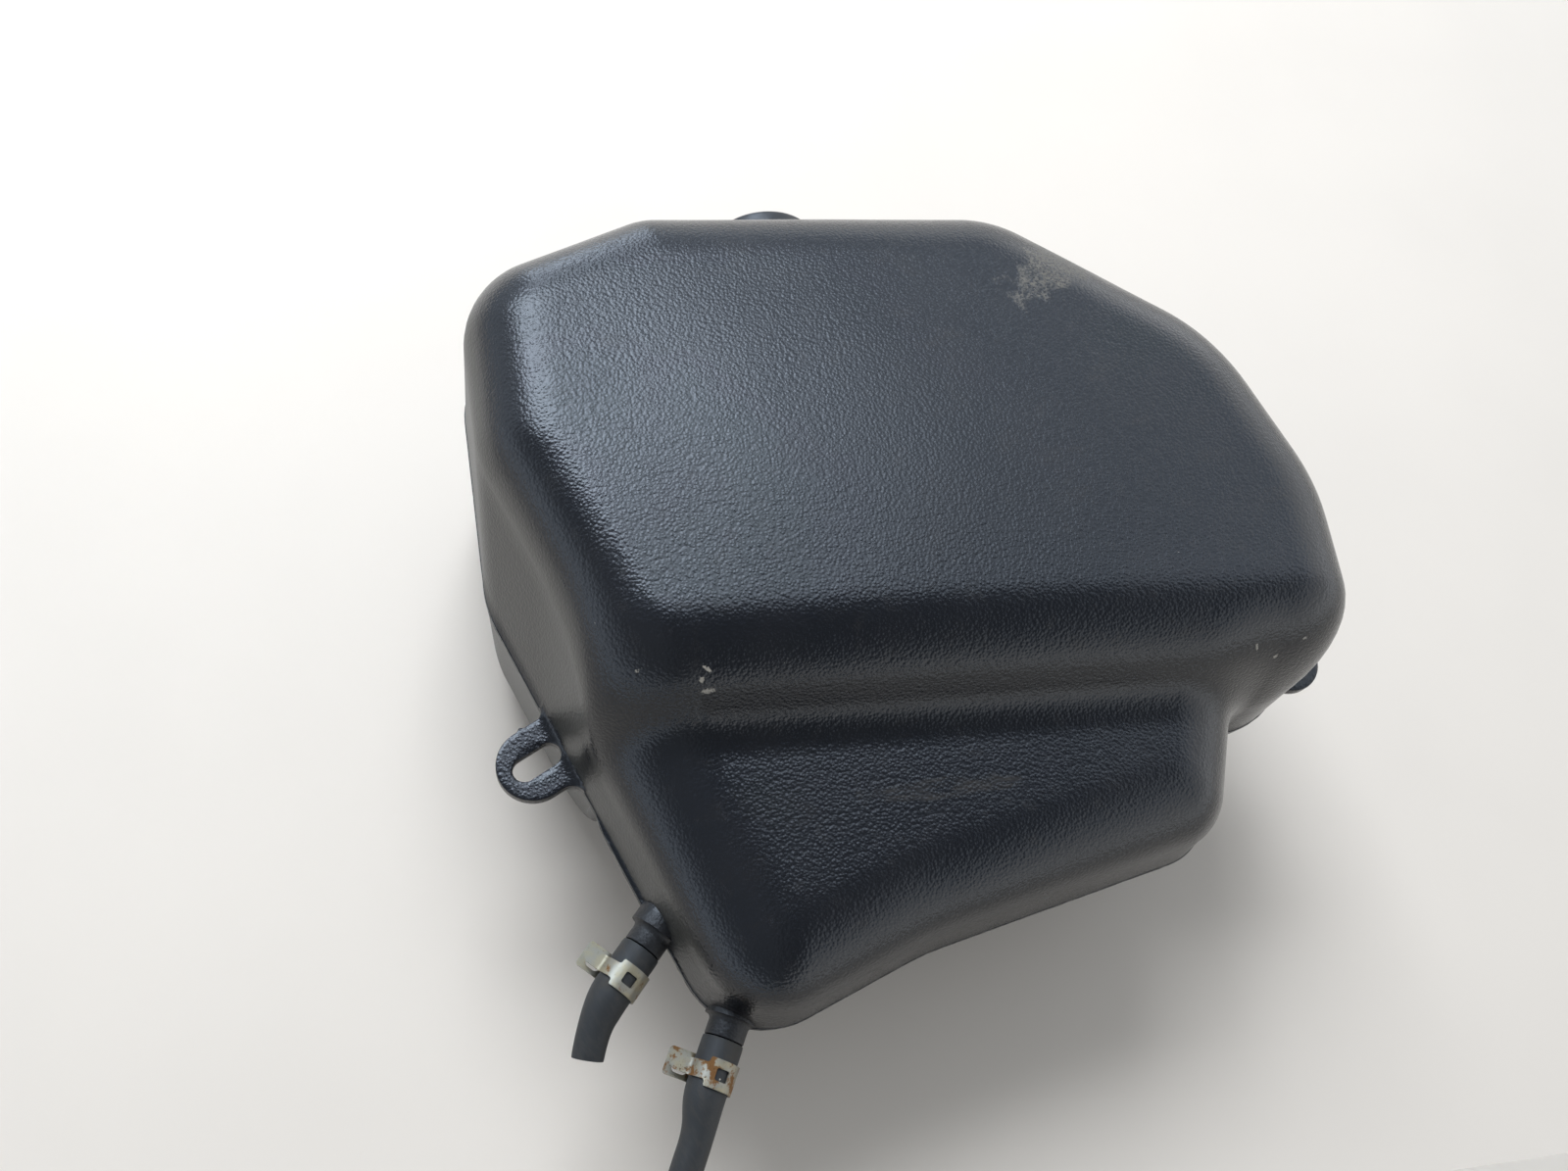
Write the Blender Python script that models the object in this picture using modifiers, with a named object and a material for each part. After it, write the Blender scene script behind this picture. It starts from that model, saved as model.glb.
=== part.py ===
"""Moulded fluid tank with a screw cap, two hose outlets and two slotted mounting ears.

The tank is two half shells that meet at an upright seam. X runs across the tank, Z is up and the
front shell faces -Y. The origin is the centre of the flat pad on the back of the rear shell.
Lengths are millimetres times MM, so that the numbers below read as they do on a drawing.
"""

import math
from collections import namedtuple

import bmesh
import bpy
from mathutils import Matrix, Vector
from mathutils.geometry import delaunay_2d_cdt

MM = 0.001
GAP = 0.3 * MM  # between pieces that touch on the real tank
HALF_FLAT = 0.8 * GAP  # height of a half stub's flat above the seam

# Seam outline, front view: x, z and corner radius, anticlockwise from the upper left corner.
SEAM_CORNERS = [
    (-150.3, 80.8, 33.2),
    (-144.2, -16.3, 51.2),
    (-75.6, -173.5, 29.2),
    (-7.6, -147.2, 118.8),
    (97.9, -123, 23.2),
    (110.9, -81.1, 8.8),
    (147.2, -78.1, 33),
    (148.7, -8.8, 76.2),
    (124, 54.8, 76.2),
    (44.4, 108.7, 46.2),
    (-86.3, 108.7, 29.2),
]
SIDE_STEPS = [6, 22, 4, 6, 5, 4, 5, 3, 4, 7, 4]  # stations along the side after each corner
SIDE_SHARES = [0.94, 1.2, 1, 1, 1, 1, 1, 1, 1, 1, 1]  # how far each side moves in, of a distance
LEANING_SIDE = 1  # the long lower left side, whose wall leans in where the front shell is deep
ARC_STEPS = 4
LEAST_RADIUS, MOST_HOLLOW_RADIUS = 8 * MM, 30 * MM
TOP_Z = 108.7 * MM

# Each shell: flange, drafted wall, round edge, and a face that steps back near its lower end. The
# step is a round shoulder, a slope at the step's angle and a hollow; below it the face tapers.
Side = namedtuple("Side", "sign deep shallow draft lean crown step_top angle shoulder hollow taper")
FRONT = Side(
    -1, 75 * MM, 45 * MM, 1.8 * MM, 10.5 * MM, 3 * MM, -46 * MM, 65, 30 * MM, 15 * MM, 0.09
)
REAR = Side(1, 82 * MM, 20 * MM, 1.5 * MM, 0, 0, -55 * MM, 84, 30 * MM, 6 * MM, 0)
SEAM_Y = -REAR.deep
WALL = 2.8 * MM
FLANGE_WIDTH, FLANGE_THICKNESS = 0.4 * MM, 1.8 * MM
FACE_INSET, EDGE_STEPS, NET_MARGIN = 30 * MM, 4, 4 * MM
EDGE_SHARE = 0.6  # most of the depth that the round edge takes where the shell is shallow
CROWN_Z, CROWN_HALF_X, CROWN_HALF_Z = 15 * MM, 130 * MM, 95 * MM
NET_ROWS = [z * MM for z in (*range(-130, -95, 11), *range(-92, -46, 5), *range(-38, 90, 13))]
NET_COLUMNS = [x * MM for x in range(-130, 131, 14)]

# Mounting ears in the seam plane, each with its slot's middle, its way out of the tank, half the
# slot's centre distance, and where along that way the ear's round end is centred.
Ear = namedtuple("Ear", "middle way reach round_at")
LEFT_EAR = Ear(Vector((-130, -72.5)) * MM, Vector((-0.87, -0.49)), 4.65 * MM, 1.2 * MM)
RIGHT_EAR = Ear(Vector((153, -55)) * MM, Vector((0.95, -0.31)), 0.3 * MM, -2.5 * MM)
EAR_HALF_THICKNESS, EAR_RADIUS, EAR_ROOT, EAR_FLARE = 2.3 * MM, 12.5 * MM, 24 * MM, 1.2
SLOT_RADIUS = 4.1 * MM

# Filler, on the seam: neck, screw cap, gasket and the vent valve inside the cap.
FILLER_X = -28.6 * MM
BOSS_RADIUS, BOSS_TOP, BOSS_SUNK = 24 * MM, 112 * MM, 6 * MM
FILLER_HOLE = (90 * MM, 130 * MM)  # lowest and highest z of the hole's cutter
NECK_BORE, NECK_RADIUS, NECK_FLANGE, NECK_TOP = 14.5 * MM, 17.5 * MM, 22 * MM, 134 * MM
NECK_FLANGE_THICKNESS, NECK_SUNK, NECK_BEVEL = 2.5 * MM, 12 * MM, 0.6 * MM
PITCH, THREAD_RADIUS, THREAD_TURNS, TURN_POINTS = 4 * MM, 1 * MM, 1.75, 20
THREAD_START, THREAD_PROUD = 120 * MM, 0.1 * MM
CAP_BORE, CAP_RADIUS, CAP_TOP, CAP_SKIRT = 19.4 * MM, 21 * MM, 139 * MM, 117.5 * MM
CAP_CEILING = CAP_TOP - 2.9 * MM
CAP_EDGE, CAP_EDGE_SMALL, SKIRT_BEVEL, VENT_HOLE = 1.8 * MM, 0.5 * MM, 0.4 * MM, 1.2 * MM
CAP_RIBS, CAP_RIB_RADIUS, CAP_RIB_SUNK, CAP_RIB_MARGIN = 24, 0.8 * MM, 0.2 * MM, 3 * MM
GASKET_INSET = 0.6 * MM
VENT_BORE, VENT_WALL, VENT_FLOOR = 5.2 * MM, 2.4 * MM, 124 * MM
DISC_THICKNESS, DISC_STEM, DISC_STEM_RADIUS, DISC_INSET = 1.2 * MM, 4 * MM, 1.6 * MM, 0.6 * MM
RETAINER_HEIGHT, RETAINER_BORE = 2 * MM, 1.8 * MM
SPRING_RADIUS, SPRING_WIRE, SPRING_TURNS, SPRING_POINTS = 3.3 * MM, 0.35 * MM, 4, 14

# Outlets, in the seam plane: root on the shell's edge and direction out of the tank.
SIDE_ROOT, SIDE_WAY = Vector((-95.8, -131.5)) * MM, Vector((-0.653, -0.757))
BOTTOM_ROOT, BOTTOM_WAY = Vector((-73.9, -161.1)) * MM, Vector((-0.433, -0.901))
STUB_RADIUS, STUB_END, STUB_SUNK, BORE_REACH = 6.5 * MM, 6.5 * MM, 6 * MM, 20 * MM
SPIGOT_BORE, SPIGOT_RADIUS, BARB_RADIUS, SPIGOT_END = 2.6 * MM, 4 * MM, 4.4 * MM, 24 * MM
SPIGOT_FLANGE, FLANGE_AT, FLANGE_HALF, SPIGOT_TAIL = 6 * MM, -15 * MM, 1 * MM, -19 * MM
SPIGOT_NOSE, BARB_LENGTH, BARB_BACK, TAIL_STEP = 0.6 * MM, 3 * MM, 0.4 * MM, 0.4 * MM
HOSE_FITTED, HOSE_RELAXED, HOSE_WALL = 6.8 * MM, 5.2 * MM, 2 * MM
HOSE_LEADS = [STUB_END + GAP, 12 * MM, 19 * MM, SPIGOT_END + 1 * MM]  # along the spigot
SIDE_HOSE_BEND = [(-117.5, -160, 1.5), (-119.5, -168, 3)]  # x, z, distance behind the seam
BOTTOM_HOSE_BEND = [(-87, -193, 1), (-92, -204, 3), (-98, -218, 6), (-107, -238, 11)]
CLAMP_WIDTH, CLAMP_SHEET, CLAMP_AT = 9 * MM, 0.6 * MM, 17.5 * MM
CLAMP_REACH, CLAMP_GAP = 15 * MM, 2.2 * MM
TONGUE_WIDTH, WINDOW_LENGTH, WINDOW_WIDTH = 4 * MM, 4.5 * MM, 4.8 * MM
WINDOW_SHIFT, TONGUE_ROOT, CUT_PAST = 1 * MM, 1 * MM, 0.1 * MM
STRAINER_RADIUS, STRAINER_LENGTH, STRAINER_WALL = 7 * MM, 24 * MM, 1.2 * MM
SLOT_SIZE = (3 * STRAINER_RADIUS, 2 * MM, 2.5 * MM)
SLOT_ROWS, SLOT_TURNS, SLOT_PITCH = 4, 3, 4 * MM

parts = bpy.data.collections.new("fluid_tank")
cutters = bpy.data.collections.new("cutters")


def clear_scene():
    for obj in list(bpy.data.objects):
        bpy.data.objects.remove(obj)
    bpy.context.scene.collection.children.link(parts)
    bpy.context.scene.collection.children.link(cutters)


def material(name, colour, roughness, metallic=0.0):
    made = bpy.data.materials.new(name)
    made.use_nodes = True
    shader = made.node_tree.nodes["Principled BSDF"]
    shader.inputs["Base Color"].default_value = (*colour, 1)
    shader.inputs["Roughness"].default_value = roughness
    shader.inputs["Metallic"].default_value = metallic
    return made


def add(name, data, group=parts, look=None):
    """A new object in its collection; a cutter shows as wire only."""
    obj = bpy.data.objects.new(name, data)
    group.objects.link(obj)
    if look:
        data.materials.append(look)
    if group is cutters:
        obj.hide_render = True
        obj.display_type = "WIRE"
    return obj


def mesh_from(bm, name):
    bmesh.ops.recalc_face_normals(bm, faces=bm.faces)
    mesh = bpy.data.meshes.new(name)
    bm.to_mesh(mesh)
    bm.free()
    return mesh


def combine(obj, other, operation):
    """A Boolean with another object, which then only serves as a cutter."""
    boolean = obj.modifiers.new(other.name, "BOOLEAN")
    boolean.operation = operation
    boolean.solver = "EXACT"
    boolean.object = other


def corner_radius(corner, turn, distance):
    if turn > 0:
        return max(corner[2] * MM - distance, LEAST_RADIUS)
    return min(corner[2] * MM + distance, max(MOST_HOLLOW_RADIUS, corner[2] * MM))


def moved_corner(before, after, first, second):
    """How far a corner moves when its two sides move by first and second along their normals."""
    even = before.dot(after)
    return (before * (first - second * even) + after * (second - first * even)) / (1 - even * even)


def rounded_outline(distance, lean=0.0):
    """Points (x, z) of the seam outline moved inwards by distance, with its corners rounded.

    The leaning side moves in by lean as well. Every corner and side gives a fixed number of points,
    so outlines at different distances match point for point.
    """
    count = len(SEAM_CORNERS)
    spots = [Vector((x, z)) * MM for x, z, _ in SEAM_CORNERS]
    along = [(spots[(i + 1) % count] - spots[i]).normalized() for i in range(count)]
    inward = [Vector((-way.y, way.x)) for way in along]
    shifts = [distance * share for share in SIDE_SHARES]
    shifts[LEANING_SIDE] += lean
    arcs = []
    for i, corner in enumerate(SEAM_CORNERS):
        before, after = inward[i - 1], inward[i]
        spot = spots[i] + moved_corner(before, after, shifts[i - 1], shifts[i])
        turn = math.atan2(along[i - 1].cross(along[i]), along[i - 1].dot(along[i]))
        radius = math.copysign(corner_radius(corner, turn, distance), turn)
        start = spot - along[i - 1] * abs(radius * math.tan(turn / 2))
        centre = start + before * radius
        arcs.append(
            [
                centre + Matrix.Rotation(turn * step / ARC_STEPS, 2) @ (start - centre)
                for step in range(ARC_STEPS + 1)
            ]
        )
    points = []
    for i, arc in enumerate(arcs):
        end = arcs[(i + 1) % count][0]
        points += arc
        points += [arc[-1].lerp(end, k / SIDE_STEPS[i]) for k in range(1, SIDE_STEPS[i])]
    return points


def face_depth(side, x, z):
    """Depth of the broad face from the seam: deep above, and rounded down to a shallow lower part."""
    angle, drop = math.radians(side.angle), side.deep - side.shallow
    slope = (drop - (side.shoulder + side.hollow) * (1 - math.cos(angle))) / math.sin(angle)
    slope_start = side.shoulder * math.sin(angle)
    slope_end = slope_start + slope * math.cos(angle)
    foot = slope_end + side.hollow * math.sin(angle)
    fall = max(side.step_top - z, 0)
    if fall < slope_start:
        level = side.deep - side.shoulder + math.sqrt(side.shoulder**2 - fall**2)
    elif fall < slope_end:
        lowered = side.shoulder * (1 - math.cos(angle))
        level = side.deep - lowered - (fall - slope_start) * math.tan(angle)
    elif fall < foot:
        level = side.shallow + side.hollow - math.sqrt(side.hollow**2 - (foot - fall) ** 2)
    else:
        level = side.shallow - side.taper * (fall - foot)
    dome = max(0, 1 - (x / CROWN_HALF_X) ** 2 - ((z - CROWN_Z) / CROWN_HALF_Z) ** 2)
    return level + side.crown * dome * dome


def flat_ring(inset, depth):
    return [(x, z, depth) for x, z in rounded_outline(inset)]


def edge_radius(side, depth):
    return min(FACE_INSET - side.draft, EDGE_SHARE * depth)


def edge_ring(side, thickness, angle):
    """The ring of the round edge at this angle, 0 at the wall and 90 degrees at the face."""
    ring = []
    edge = FACE_INSET - side.draft
    inset = FACE_INSET - (edge - thickness) * math.cos(angle)
    upright = rounded_outline(inset)
    leaning = rounded_outline(inset, side.lean * math.cos(angle))
    for plain, leant in zip(upright, leaning):
        depth = face_depth(side, *plain)
        wall = (depth - edge_radius(side, depth)) / (side.deep - edge)
        x, z = plain.lerp(leant, wall * wall)
        depth = face_depth(side, x, z)
        radius = edge_radius(side, depth) - thickness
        ring.append((x, z, depth - thickness - radius * (1 - math.sin(angle))))
    return ring


def inside(point, outline):
    """Whether a point is in a closed outline, by counting the sides to its right."""
    crossings = 0
    for a, b in zip(outline, outline[1:] + outline[:1]):
        if (a.y > point.y) != (b.y > point.y):
            crossings += point.x < a.x + (b.x - a.x) * (point.y - a.y) / (b.y - a.y)
    return crossings % 2 == 1


def face_net():
    """Spots inside the face's edge ring, and the triangles over the ring's points and the spots."""
    ring = rounded_outline(FACE_INSET)
    limit = rounded_outline(FACE_INSET + NET_MARGIN)
    spots = [Vector((x, z)) for z in NET_ROWS for x in NET_COLUMNS]
    spots = [spot for spot in spots if inside(spot, limit)]
    sides = [(i, (i + 1) % len(ring)) for i in range(len(ring))]
    triangles = delaunay_2d_cdt(ring + spots, sides, [], 1, 1e-7)[2]
    return spots, triangles


def shell_mesh(side):
    """One half of the tank: a loft from the outer face, round the flange, to the inner face."""
    angles = [math.radians(90) * step / EDGE_STEPS for step in range(EDGE_STEPS + 1)]
    rings = [edge_ring(side, 0, angle) for angle in reversed(angles)]
    rings.append(flat_ring(0, FLANGE_THICKNESS))
    rings.append(flat_ring(-FLANGE_WIDTH, FLANGE_THICKNESS))
    rings.append(flat_ring(-FLANGE_WIDTH, GAP / 2))
    rings.append(flat_ring(WALL, GAP / 2))
    rings += [edge_ring(side, WALL, angle) for angle in angles]
    bm = bmesh.new()

    def vertex(x, z, depth):
        return bm.verts.new((x, SEAM_Y + side.sign * depth, z))

    loops = [[vertex(*spot) for spot in ring] for ring in rings]
    for a, b in zip(loops, loops[1:]):
        for i in range(len(a)):
            bm.faces.new((a[i - 1], a[i], b[i], b[i - 1]))
    spots, triangles = face_net()
    for loop, thickness in ((loops[0], 0), (loops[-1], WALL)):
        net = loop + [vertex(x, z, face_depth(side, x, z) - thickness) for x, z in spots]
        for triangle in triangles:
            bm.faces.new([net[i] for i in triangle])
    return mesh_from(bm, "shell")


def plate(name, outlines, half_thickness, matrix):
    """A flat piece cut to one or more closed outlines, made a mesh so that it can be joined."""
    curve = bpy.data.curves.new(name, "CURVE")
    curve.dimensions = "2D"
    curve.fill_mode = "BOTH"
    curve.extrude = half_thickness
    for outline in outlines:
        spline = curve.splines.new("POLY")
        spline.points.add(len(outline) - 1)
        for point, (x, y) in zip(spline.points, outline):
            point.co = (x, y, 0, 1)
        spline.use_cyclic_u = True
    return curve_to_mesh(add(name, curve, cutters), matrix)


def curve_to_mesh(obj, matrix=Matrix()):
    """Replaces a curve object by a closed mesh object with the same name and material."""
    name, group = obj.name, obj.users_collection[0]
    bpy.context.view_layer.update()
    evaluated = obj.evaluated_get(bpy.context.evaluated_depsgraph_get())
    mesh = bpy.data.meshes.new_from_object(evaluated)
    bm = bmesh.new()
    bm.from_mesh(mesh)
    bmesh.ops.remove_doubles(bm, verts=bm.verts, dist=0.00001)
    bmesh.ops.recalc_face_normals(bm, faces=bm.faces)
    bm.to_mesh(mesh)
    bm.free()
    placed = matrix @ obj.matrix_world
    bpy.data.objects.remove(obj)
    made = add(name, mesh, group)
    made.matrix_world = placed
    return made


def arc(centre, radius, start, end, steps):
    """Points (x, y) on an arc between two angles in degrees."""
    turns = [math.radians(start + (end - start) * step / steps) for step in range(steps + 1)]
    return [(centre[0] + radius * math.cos(a), centre[1] + radius * math.sin(a)) for a in turns]


def facing(origin, way, out):
    """A matrix whose z axis is out and whose x axis is way, at origin."""
    y = out.cross(way)
    return Matrix.Translation(origin) @ Matrix((way, y, out)).transposed().to_4x4()


def in_seam(spot, depth=0.0):
    return Vector((spot.x, SEAM_Y + depth, spot.y))


def build_ear(name, side, ear):
    """Half the thickness of a mounting ear: a rounded tab with a slot along it."""
    tab = arc((ear.round_at, 0), EAR_RADIUS, -90, 90, 10)
    tab += [(-EAR_ROOT, EAR_RADIUS * EAR_FLARE), (-EAR_ROOT, -EAR_RADIUS * EAR_FLARE)]
    slot = arc((ear.reach, 0), SLOT_RADIUS, -90, 90, 6)
    slot += arc((-ear.reach, 0), SLOT_RADIUS, 90, 270, 6)
    middle = side.sign * (GAP + EAR_HALF_THICKNESS) / 2
    axis = Vector((ear.way.x, 0, ear.way.y)).normalized()
    matrix = facing(in_seam(ear.middle, middle), axis, Vector((0, -1, 0)))
    return plate(name, [tab, slot], (EAR_HALF_THICKNESS - GAP) / 2, matrix)


def half_round(name, side, spot, way, radius, start, end):
    """Half a round stub on one side of the seam, along way from start to end."""
    outline = arc((0, HALF_FLAT), radius, 0, 180, 14)
    axis = Vector((way.x, 0, way.y)).normalized()
    across = axis.cross(Vector((0, side.sign, 0)))
    origin = in_seam(spot) + axis * (start + end) / 2
    matrix = facing(origin, -across, axis)
    return plate(name, [outline], (end - start) / 2, matrix)


def drill(name, spot, way, radius, start, end):
    """A round cutter along way."""
    bm = bmesh.new()
    bmesh.ops.create_cone(
        bm, cap_ends=True, segments=32, radius1=radius, radius2=radius, depth=end - start
    )
    obj = add(name, mesh_from(bm, name), cutters)
    axis = Vector((way.x, 0, way.y)).normalized()
    origin = in_seam(spot) + axis * (start + end) / 2
    obj.matrix_world = Matrix.Translation(origin) @ axis.to_track_quat("Z", "Y").to_matrix().to_4x4()
    return obj


def build_shell(name, side, look):
    shell = add(name, shell_mesh(side), look=look)
    shell.data.shade_smooth()
    up = Vector((0, 1))
    filler = Vector((FILLER_X, 0))
    for label, ear in (("left", LEFT_EAR), ("right", RIGHT_EAR)):
        combine(shell, build_ear(f"{name}_{label}_ear", side, ear), "UNION")
    boss = half_round(
        f"{name}_boss", side, filler, up, BOSS_RADIUS, TOP_Z - BOSS_SUNK, BOSS_TOP
    )
    combine(shell, boss, "UNION")
    for label, root, way in (("side", SIDE_ROOT, SIDE_WAY), ("bottom", BOTTOM_ROOT, BOTTOM_WAY)):
        stub = half_round(
            f"{name}_{label}_stub", side, root, way, STUB_RADIUS, -STUB_SUNK, STUB_END
        )
        combine(shell, stub, "UNION")
        bore = drill(
            f"{name}_{label}_bore", root, way, SPIGOT_RADIUS + GAP, -BORE_REACH, BORE_REACH
        )
        combine(shell, bore, "DIFFERENCE")
    hole = drill(f"{name}_filler_hole", filler, up, NECK_RADIUS + GAP, *FILLER_HOLE)
    combine(shell, hole, "DIFFERENCE")


def build_shells():
    look = material("tank_plastic", (0.012, 0.015, 0.020), 0.42)
    build_shell("front_shell", FRONT, look)
    build_shell("rear_shell", REAR, look.copy())


def turned(name, profile, look, matrix, closed=True, steps=40):
    """A solid turned about local Z from (radius, height) points down its outer side."""
    count = len(profile)
    edges = [(i, i + 1) for i in range(count - 1)] + ([(count - 1, 0)] if closed else [])
    mesh = bpy.data.meshes.new(name)
    mesh.from_pydata([(radius, 0, height) for radius, height in profile], edges, [])
    obj = add(name, mesh, look=look)
    screw = obj.modifiers.new("turn", "SCREW")
    screw.steps = screw.render_steps = steps
    screw.use_merge_vertices = True
    screw.merge_threshold = 0.00001
    obj.matrix_world = matrix
    return obj


def coil(name, radius, wire, pitch, turns, start, points_a_turn, group, ends=1.0):
    """A wire wound about local Z, with its first and last points scaled to ends."""
    curve = bpy.data.curves.new(name, "CURVE")
    curve.dimensions = "3D"
    curve.bevel_depth = wire
    curve.bevel_resolution = 2
    curve.use_fill_caps = True
    spline = curve.splines.new("POLY")
    steps = round(turns * points_a_turn)
    spline.points.add(steps)
    for i, point in enumerate(spline.points):
        angle = 2 * math.pi * i / points_a_turn
        height = start + pitch * i / points_a_turn
        point.co = (radius * math.cos(angle), radius * math.sin(angle), height, 1)
        point.radius = ends if i in (0, steps) else 1.0
    return add(name, curve, group)


def filler_matrix():
    return Matrix.Translation((FILLER_X, SEAM_Y, 0))


def thread(name, radius, start):
    made = coil(name, radius, THREAD_RADIUS, PITCH, THREAD_TURNS, start, TURN_POINTS, cutters, 0.5)
    return curve_to_mesh(made, filler_matrix())


def build_neck():
    look = material("neck_plastic", (0.014, 0.016, 0.020), 0.45)
    base = BOSS_TOP + GAP
    profile = [
        (NECK_BORE, NECK_TOP),
        (NECK_RADIUS - NECK_BEVEL, NECK_TOP),
        (NECK_RADIUS, NECK_TOP - NECK_BEVEL),
        (NECK_RADIUS, base + NECK_FLANGE_THICKNESS),
        (NECK_FLANGE, base + NECK_FLANGE_THICKNESS),
        (NECK_FLANGE, base),
        (NECK_RADIUS, base),
        (NECK_RADIUS, TOP_Z - NECK_SUNK),
        (NECK_BORE, TOP_Z - NECK_SUNK),
    ]
    neck = turned("filler_neck", profile, look, filler_matrix())
    combine(neck, thread("neck_thread", NECK_RADIUS + THREAD_PROUD, THREAD_START), "UNION")


def cap_profile():
    inner = VENT_BORE + VENT_WALL
    return [
        (VENT_HOLE, CAP_TOP),
        (CAP_RADIUS - CAP_EDGE, CAP_TOP),
        (CAP_RADIUS - CAP_EDGE_SMALL, CAP_TOP - CAP_EDGE_SMALL),
        (CAP_RADIUS, CAP_TOP - CAP_EDGE),
        (CAP_RADIUS, CAP_SKIRT + SKIRT_BEVEL),
        (CAP_RADIUS - SKIRT_BEVEL, CAP_SKIRT),
        (CAP_BORE, CAP_SKIRT),
        (CAP_BORE, CAP_CEILING),
        (inner, CAP_CEILING),
        (inner, VENT_FLOOR),
        (VENT_BORE, VENT_FLOOR),
        (VENT_BORE, CAP_CEILING),
        (VENT_HOLE, CAP_CEILING),
    ]


def cap_ribs():
    """Small upright rounds about the cap, which sink most of the way into its skirt."""
    bm = bmesh.new()
    height = CAP_TOP - CAP_SKIRT - 2 * CAP_RIB_MARGIN
    middle = (CAP_TOP + CAP_SKIRT) / 2
    for i in range(CAP_RIBS):
        angle = 2 * math.pi * i / CAP_RIBS
        spot = Vector((math.cos(angle), math.sin(angle), 0)) * (CAP_RADIUS - CAP_RIB_SUNK)
        placed = Matrix.Translation(spot + Vector((0, 0, middle)))
        bmesh.ops.create_cone(
            bm, cap_ends=True, segments=8, radius1=CAP_RIB_RADIUS, radius2=CAP_RIB_RADIUS,
            depth=height, matrix=placed,
        )
    obj = add("cap_ribs", mesh_from(bm, "cap_ribs"), cutters)
    obj.matrix_world = filler_matrix()
    return obj


def build_cap():
    look = material("cap_plastic", (0.010, 0.011, 0.013), 0.35)
    cap = turned("filler_cap", cap_profile(), look, filler_matrix(), steps=48)
    combine(cap, cap_ribs(), "UNION")
    start = THREAD_START + PITCH / 2
    combine(cap, thread("cap_thread", CAP_BORE - THREAD_PROUD, start), "UNION")


def build_gasket():
    look = material("gasket_rubber", (0.02, 0.02, 0.02), 0.7)
    bottom, top = NECK_TOP + GAP, CAP_CEILING - GAP
    outer, inner = CAP_BORE - GASKET_INSET, NECK_BORE + GAP
    profile = [(inner, top), (outer, top), (outer, bottom), (inner, bottom)]
    turned("cap_gasket", profile, look, filler_matrix())


def build_vent():
    """The cap's vent: a valve disc that a spring holds up, and the retainer under the spring."""
    top = CAP_CEILING - GAP
    seat = top - DISC_THICKNESS
    disc = [
        (0, top),
        (VENT_BORE - DISC_INSET, top),
        (VENT_BORE - DISC_INSET, seat),
        (DISC_STEM_RADIUS, seat),
        (DISC_STEM_RADIUS, seat - DISC_STEM),
        (0, seat - DISC_STEM),
    ]
    rubber = material("vent_rubber", (0.03, 0.03, 0.03), 0.6)
    turned("vent_disc", disc, rubber, filler_matrix(), closed=False, steps=24)
    floor = VENT_FLOOR + RETAINER_HEIGHT
    outer = VENT_BORE - GAP
    ring = [(RETAINER_BORE, floor), (outer, floor), (outer, VENT_FLOOR), (RETAINER_BORE, VENT_FLOOR)]
    nylon = material("retainer_nylon", (0.6, 0.58, 0.5), 0.5)
    turned("vent_retainer", ring, nylon, filler_matrix(), steps=24)
    start = floor + GAP + SPRING_WIRE
    end = seat - GAP - SPRING_WIRE
    pitch = (end - start) / SPRING_TURNS
    steel = material("spring_steel", (0.5, 0.5, 0.5), 0.3, 1.0)
    spring = coil(
        "vent_spring", SPRING_RADIUS, SPRING_WIRE, pitch, SPRING_TURNS, start, SPRING_POINTS, parts
    )
    spring.data.materials.append(steel)
    spring.matrix_world = filler_matrix()


def outlet_matrix(root, way, along=0.0):
    """Local z runs out along the spigot and local x to the left of it, in the seam plane."""
    out = Vector((way.x, 0, way.y)).normalized()
    left = Vector((0, 1, 0)).cross(out)
    return facing(in_seam(root) + out * along, left, out)


def build_spigot(name, root, way, look):
    profile = [
        (SPIGOT_BORE, SPIGOT_END),
        (SPIGOT_RADIUS - SPIGOT_NOSE, SPIGOT_END),
        (BARB_RADIUS, SPIGOT_END - BARB_LENGTH),
        (SPIGOT_RADIUS, SPIGOT_END - BARB_LENGTH - BARB_BACK),
        (SPIGOT_RADIUS, FLANGE_AT + FLANGE_HALF),
        (SPIGOT_FLANGE, FLANGE_AT + FLANGE_HALF),
        (SPIGOT_FLANGE, FLANGE_AT - FLANGE_HALF),
        (SPIGOT_RADIUS - TAIL_STEP, FLANGE_AT - FLANGE_HALF),
        (SPIGOT_RADIUS - TAIL_STEP, SPIGOT_TAIL),
        (SPIGOT_BORE, SPIGOT_TAIL),
    ]
    turned(name, profile, look, outlet_matrix(root, way), steps=24)


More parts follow.
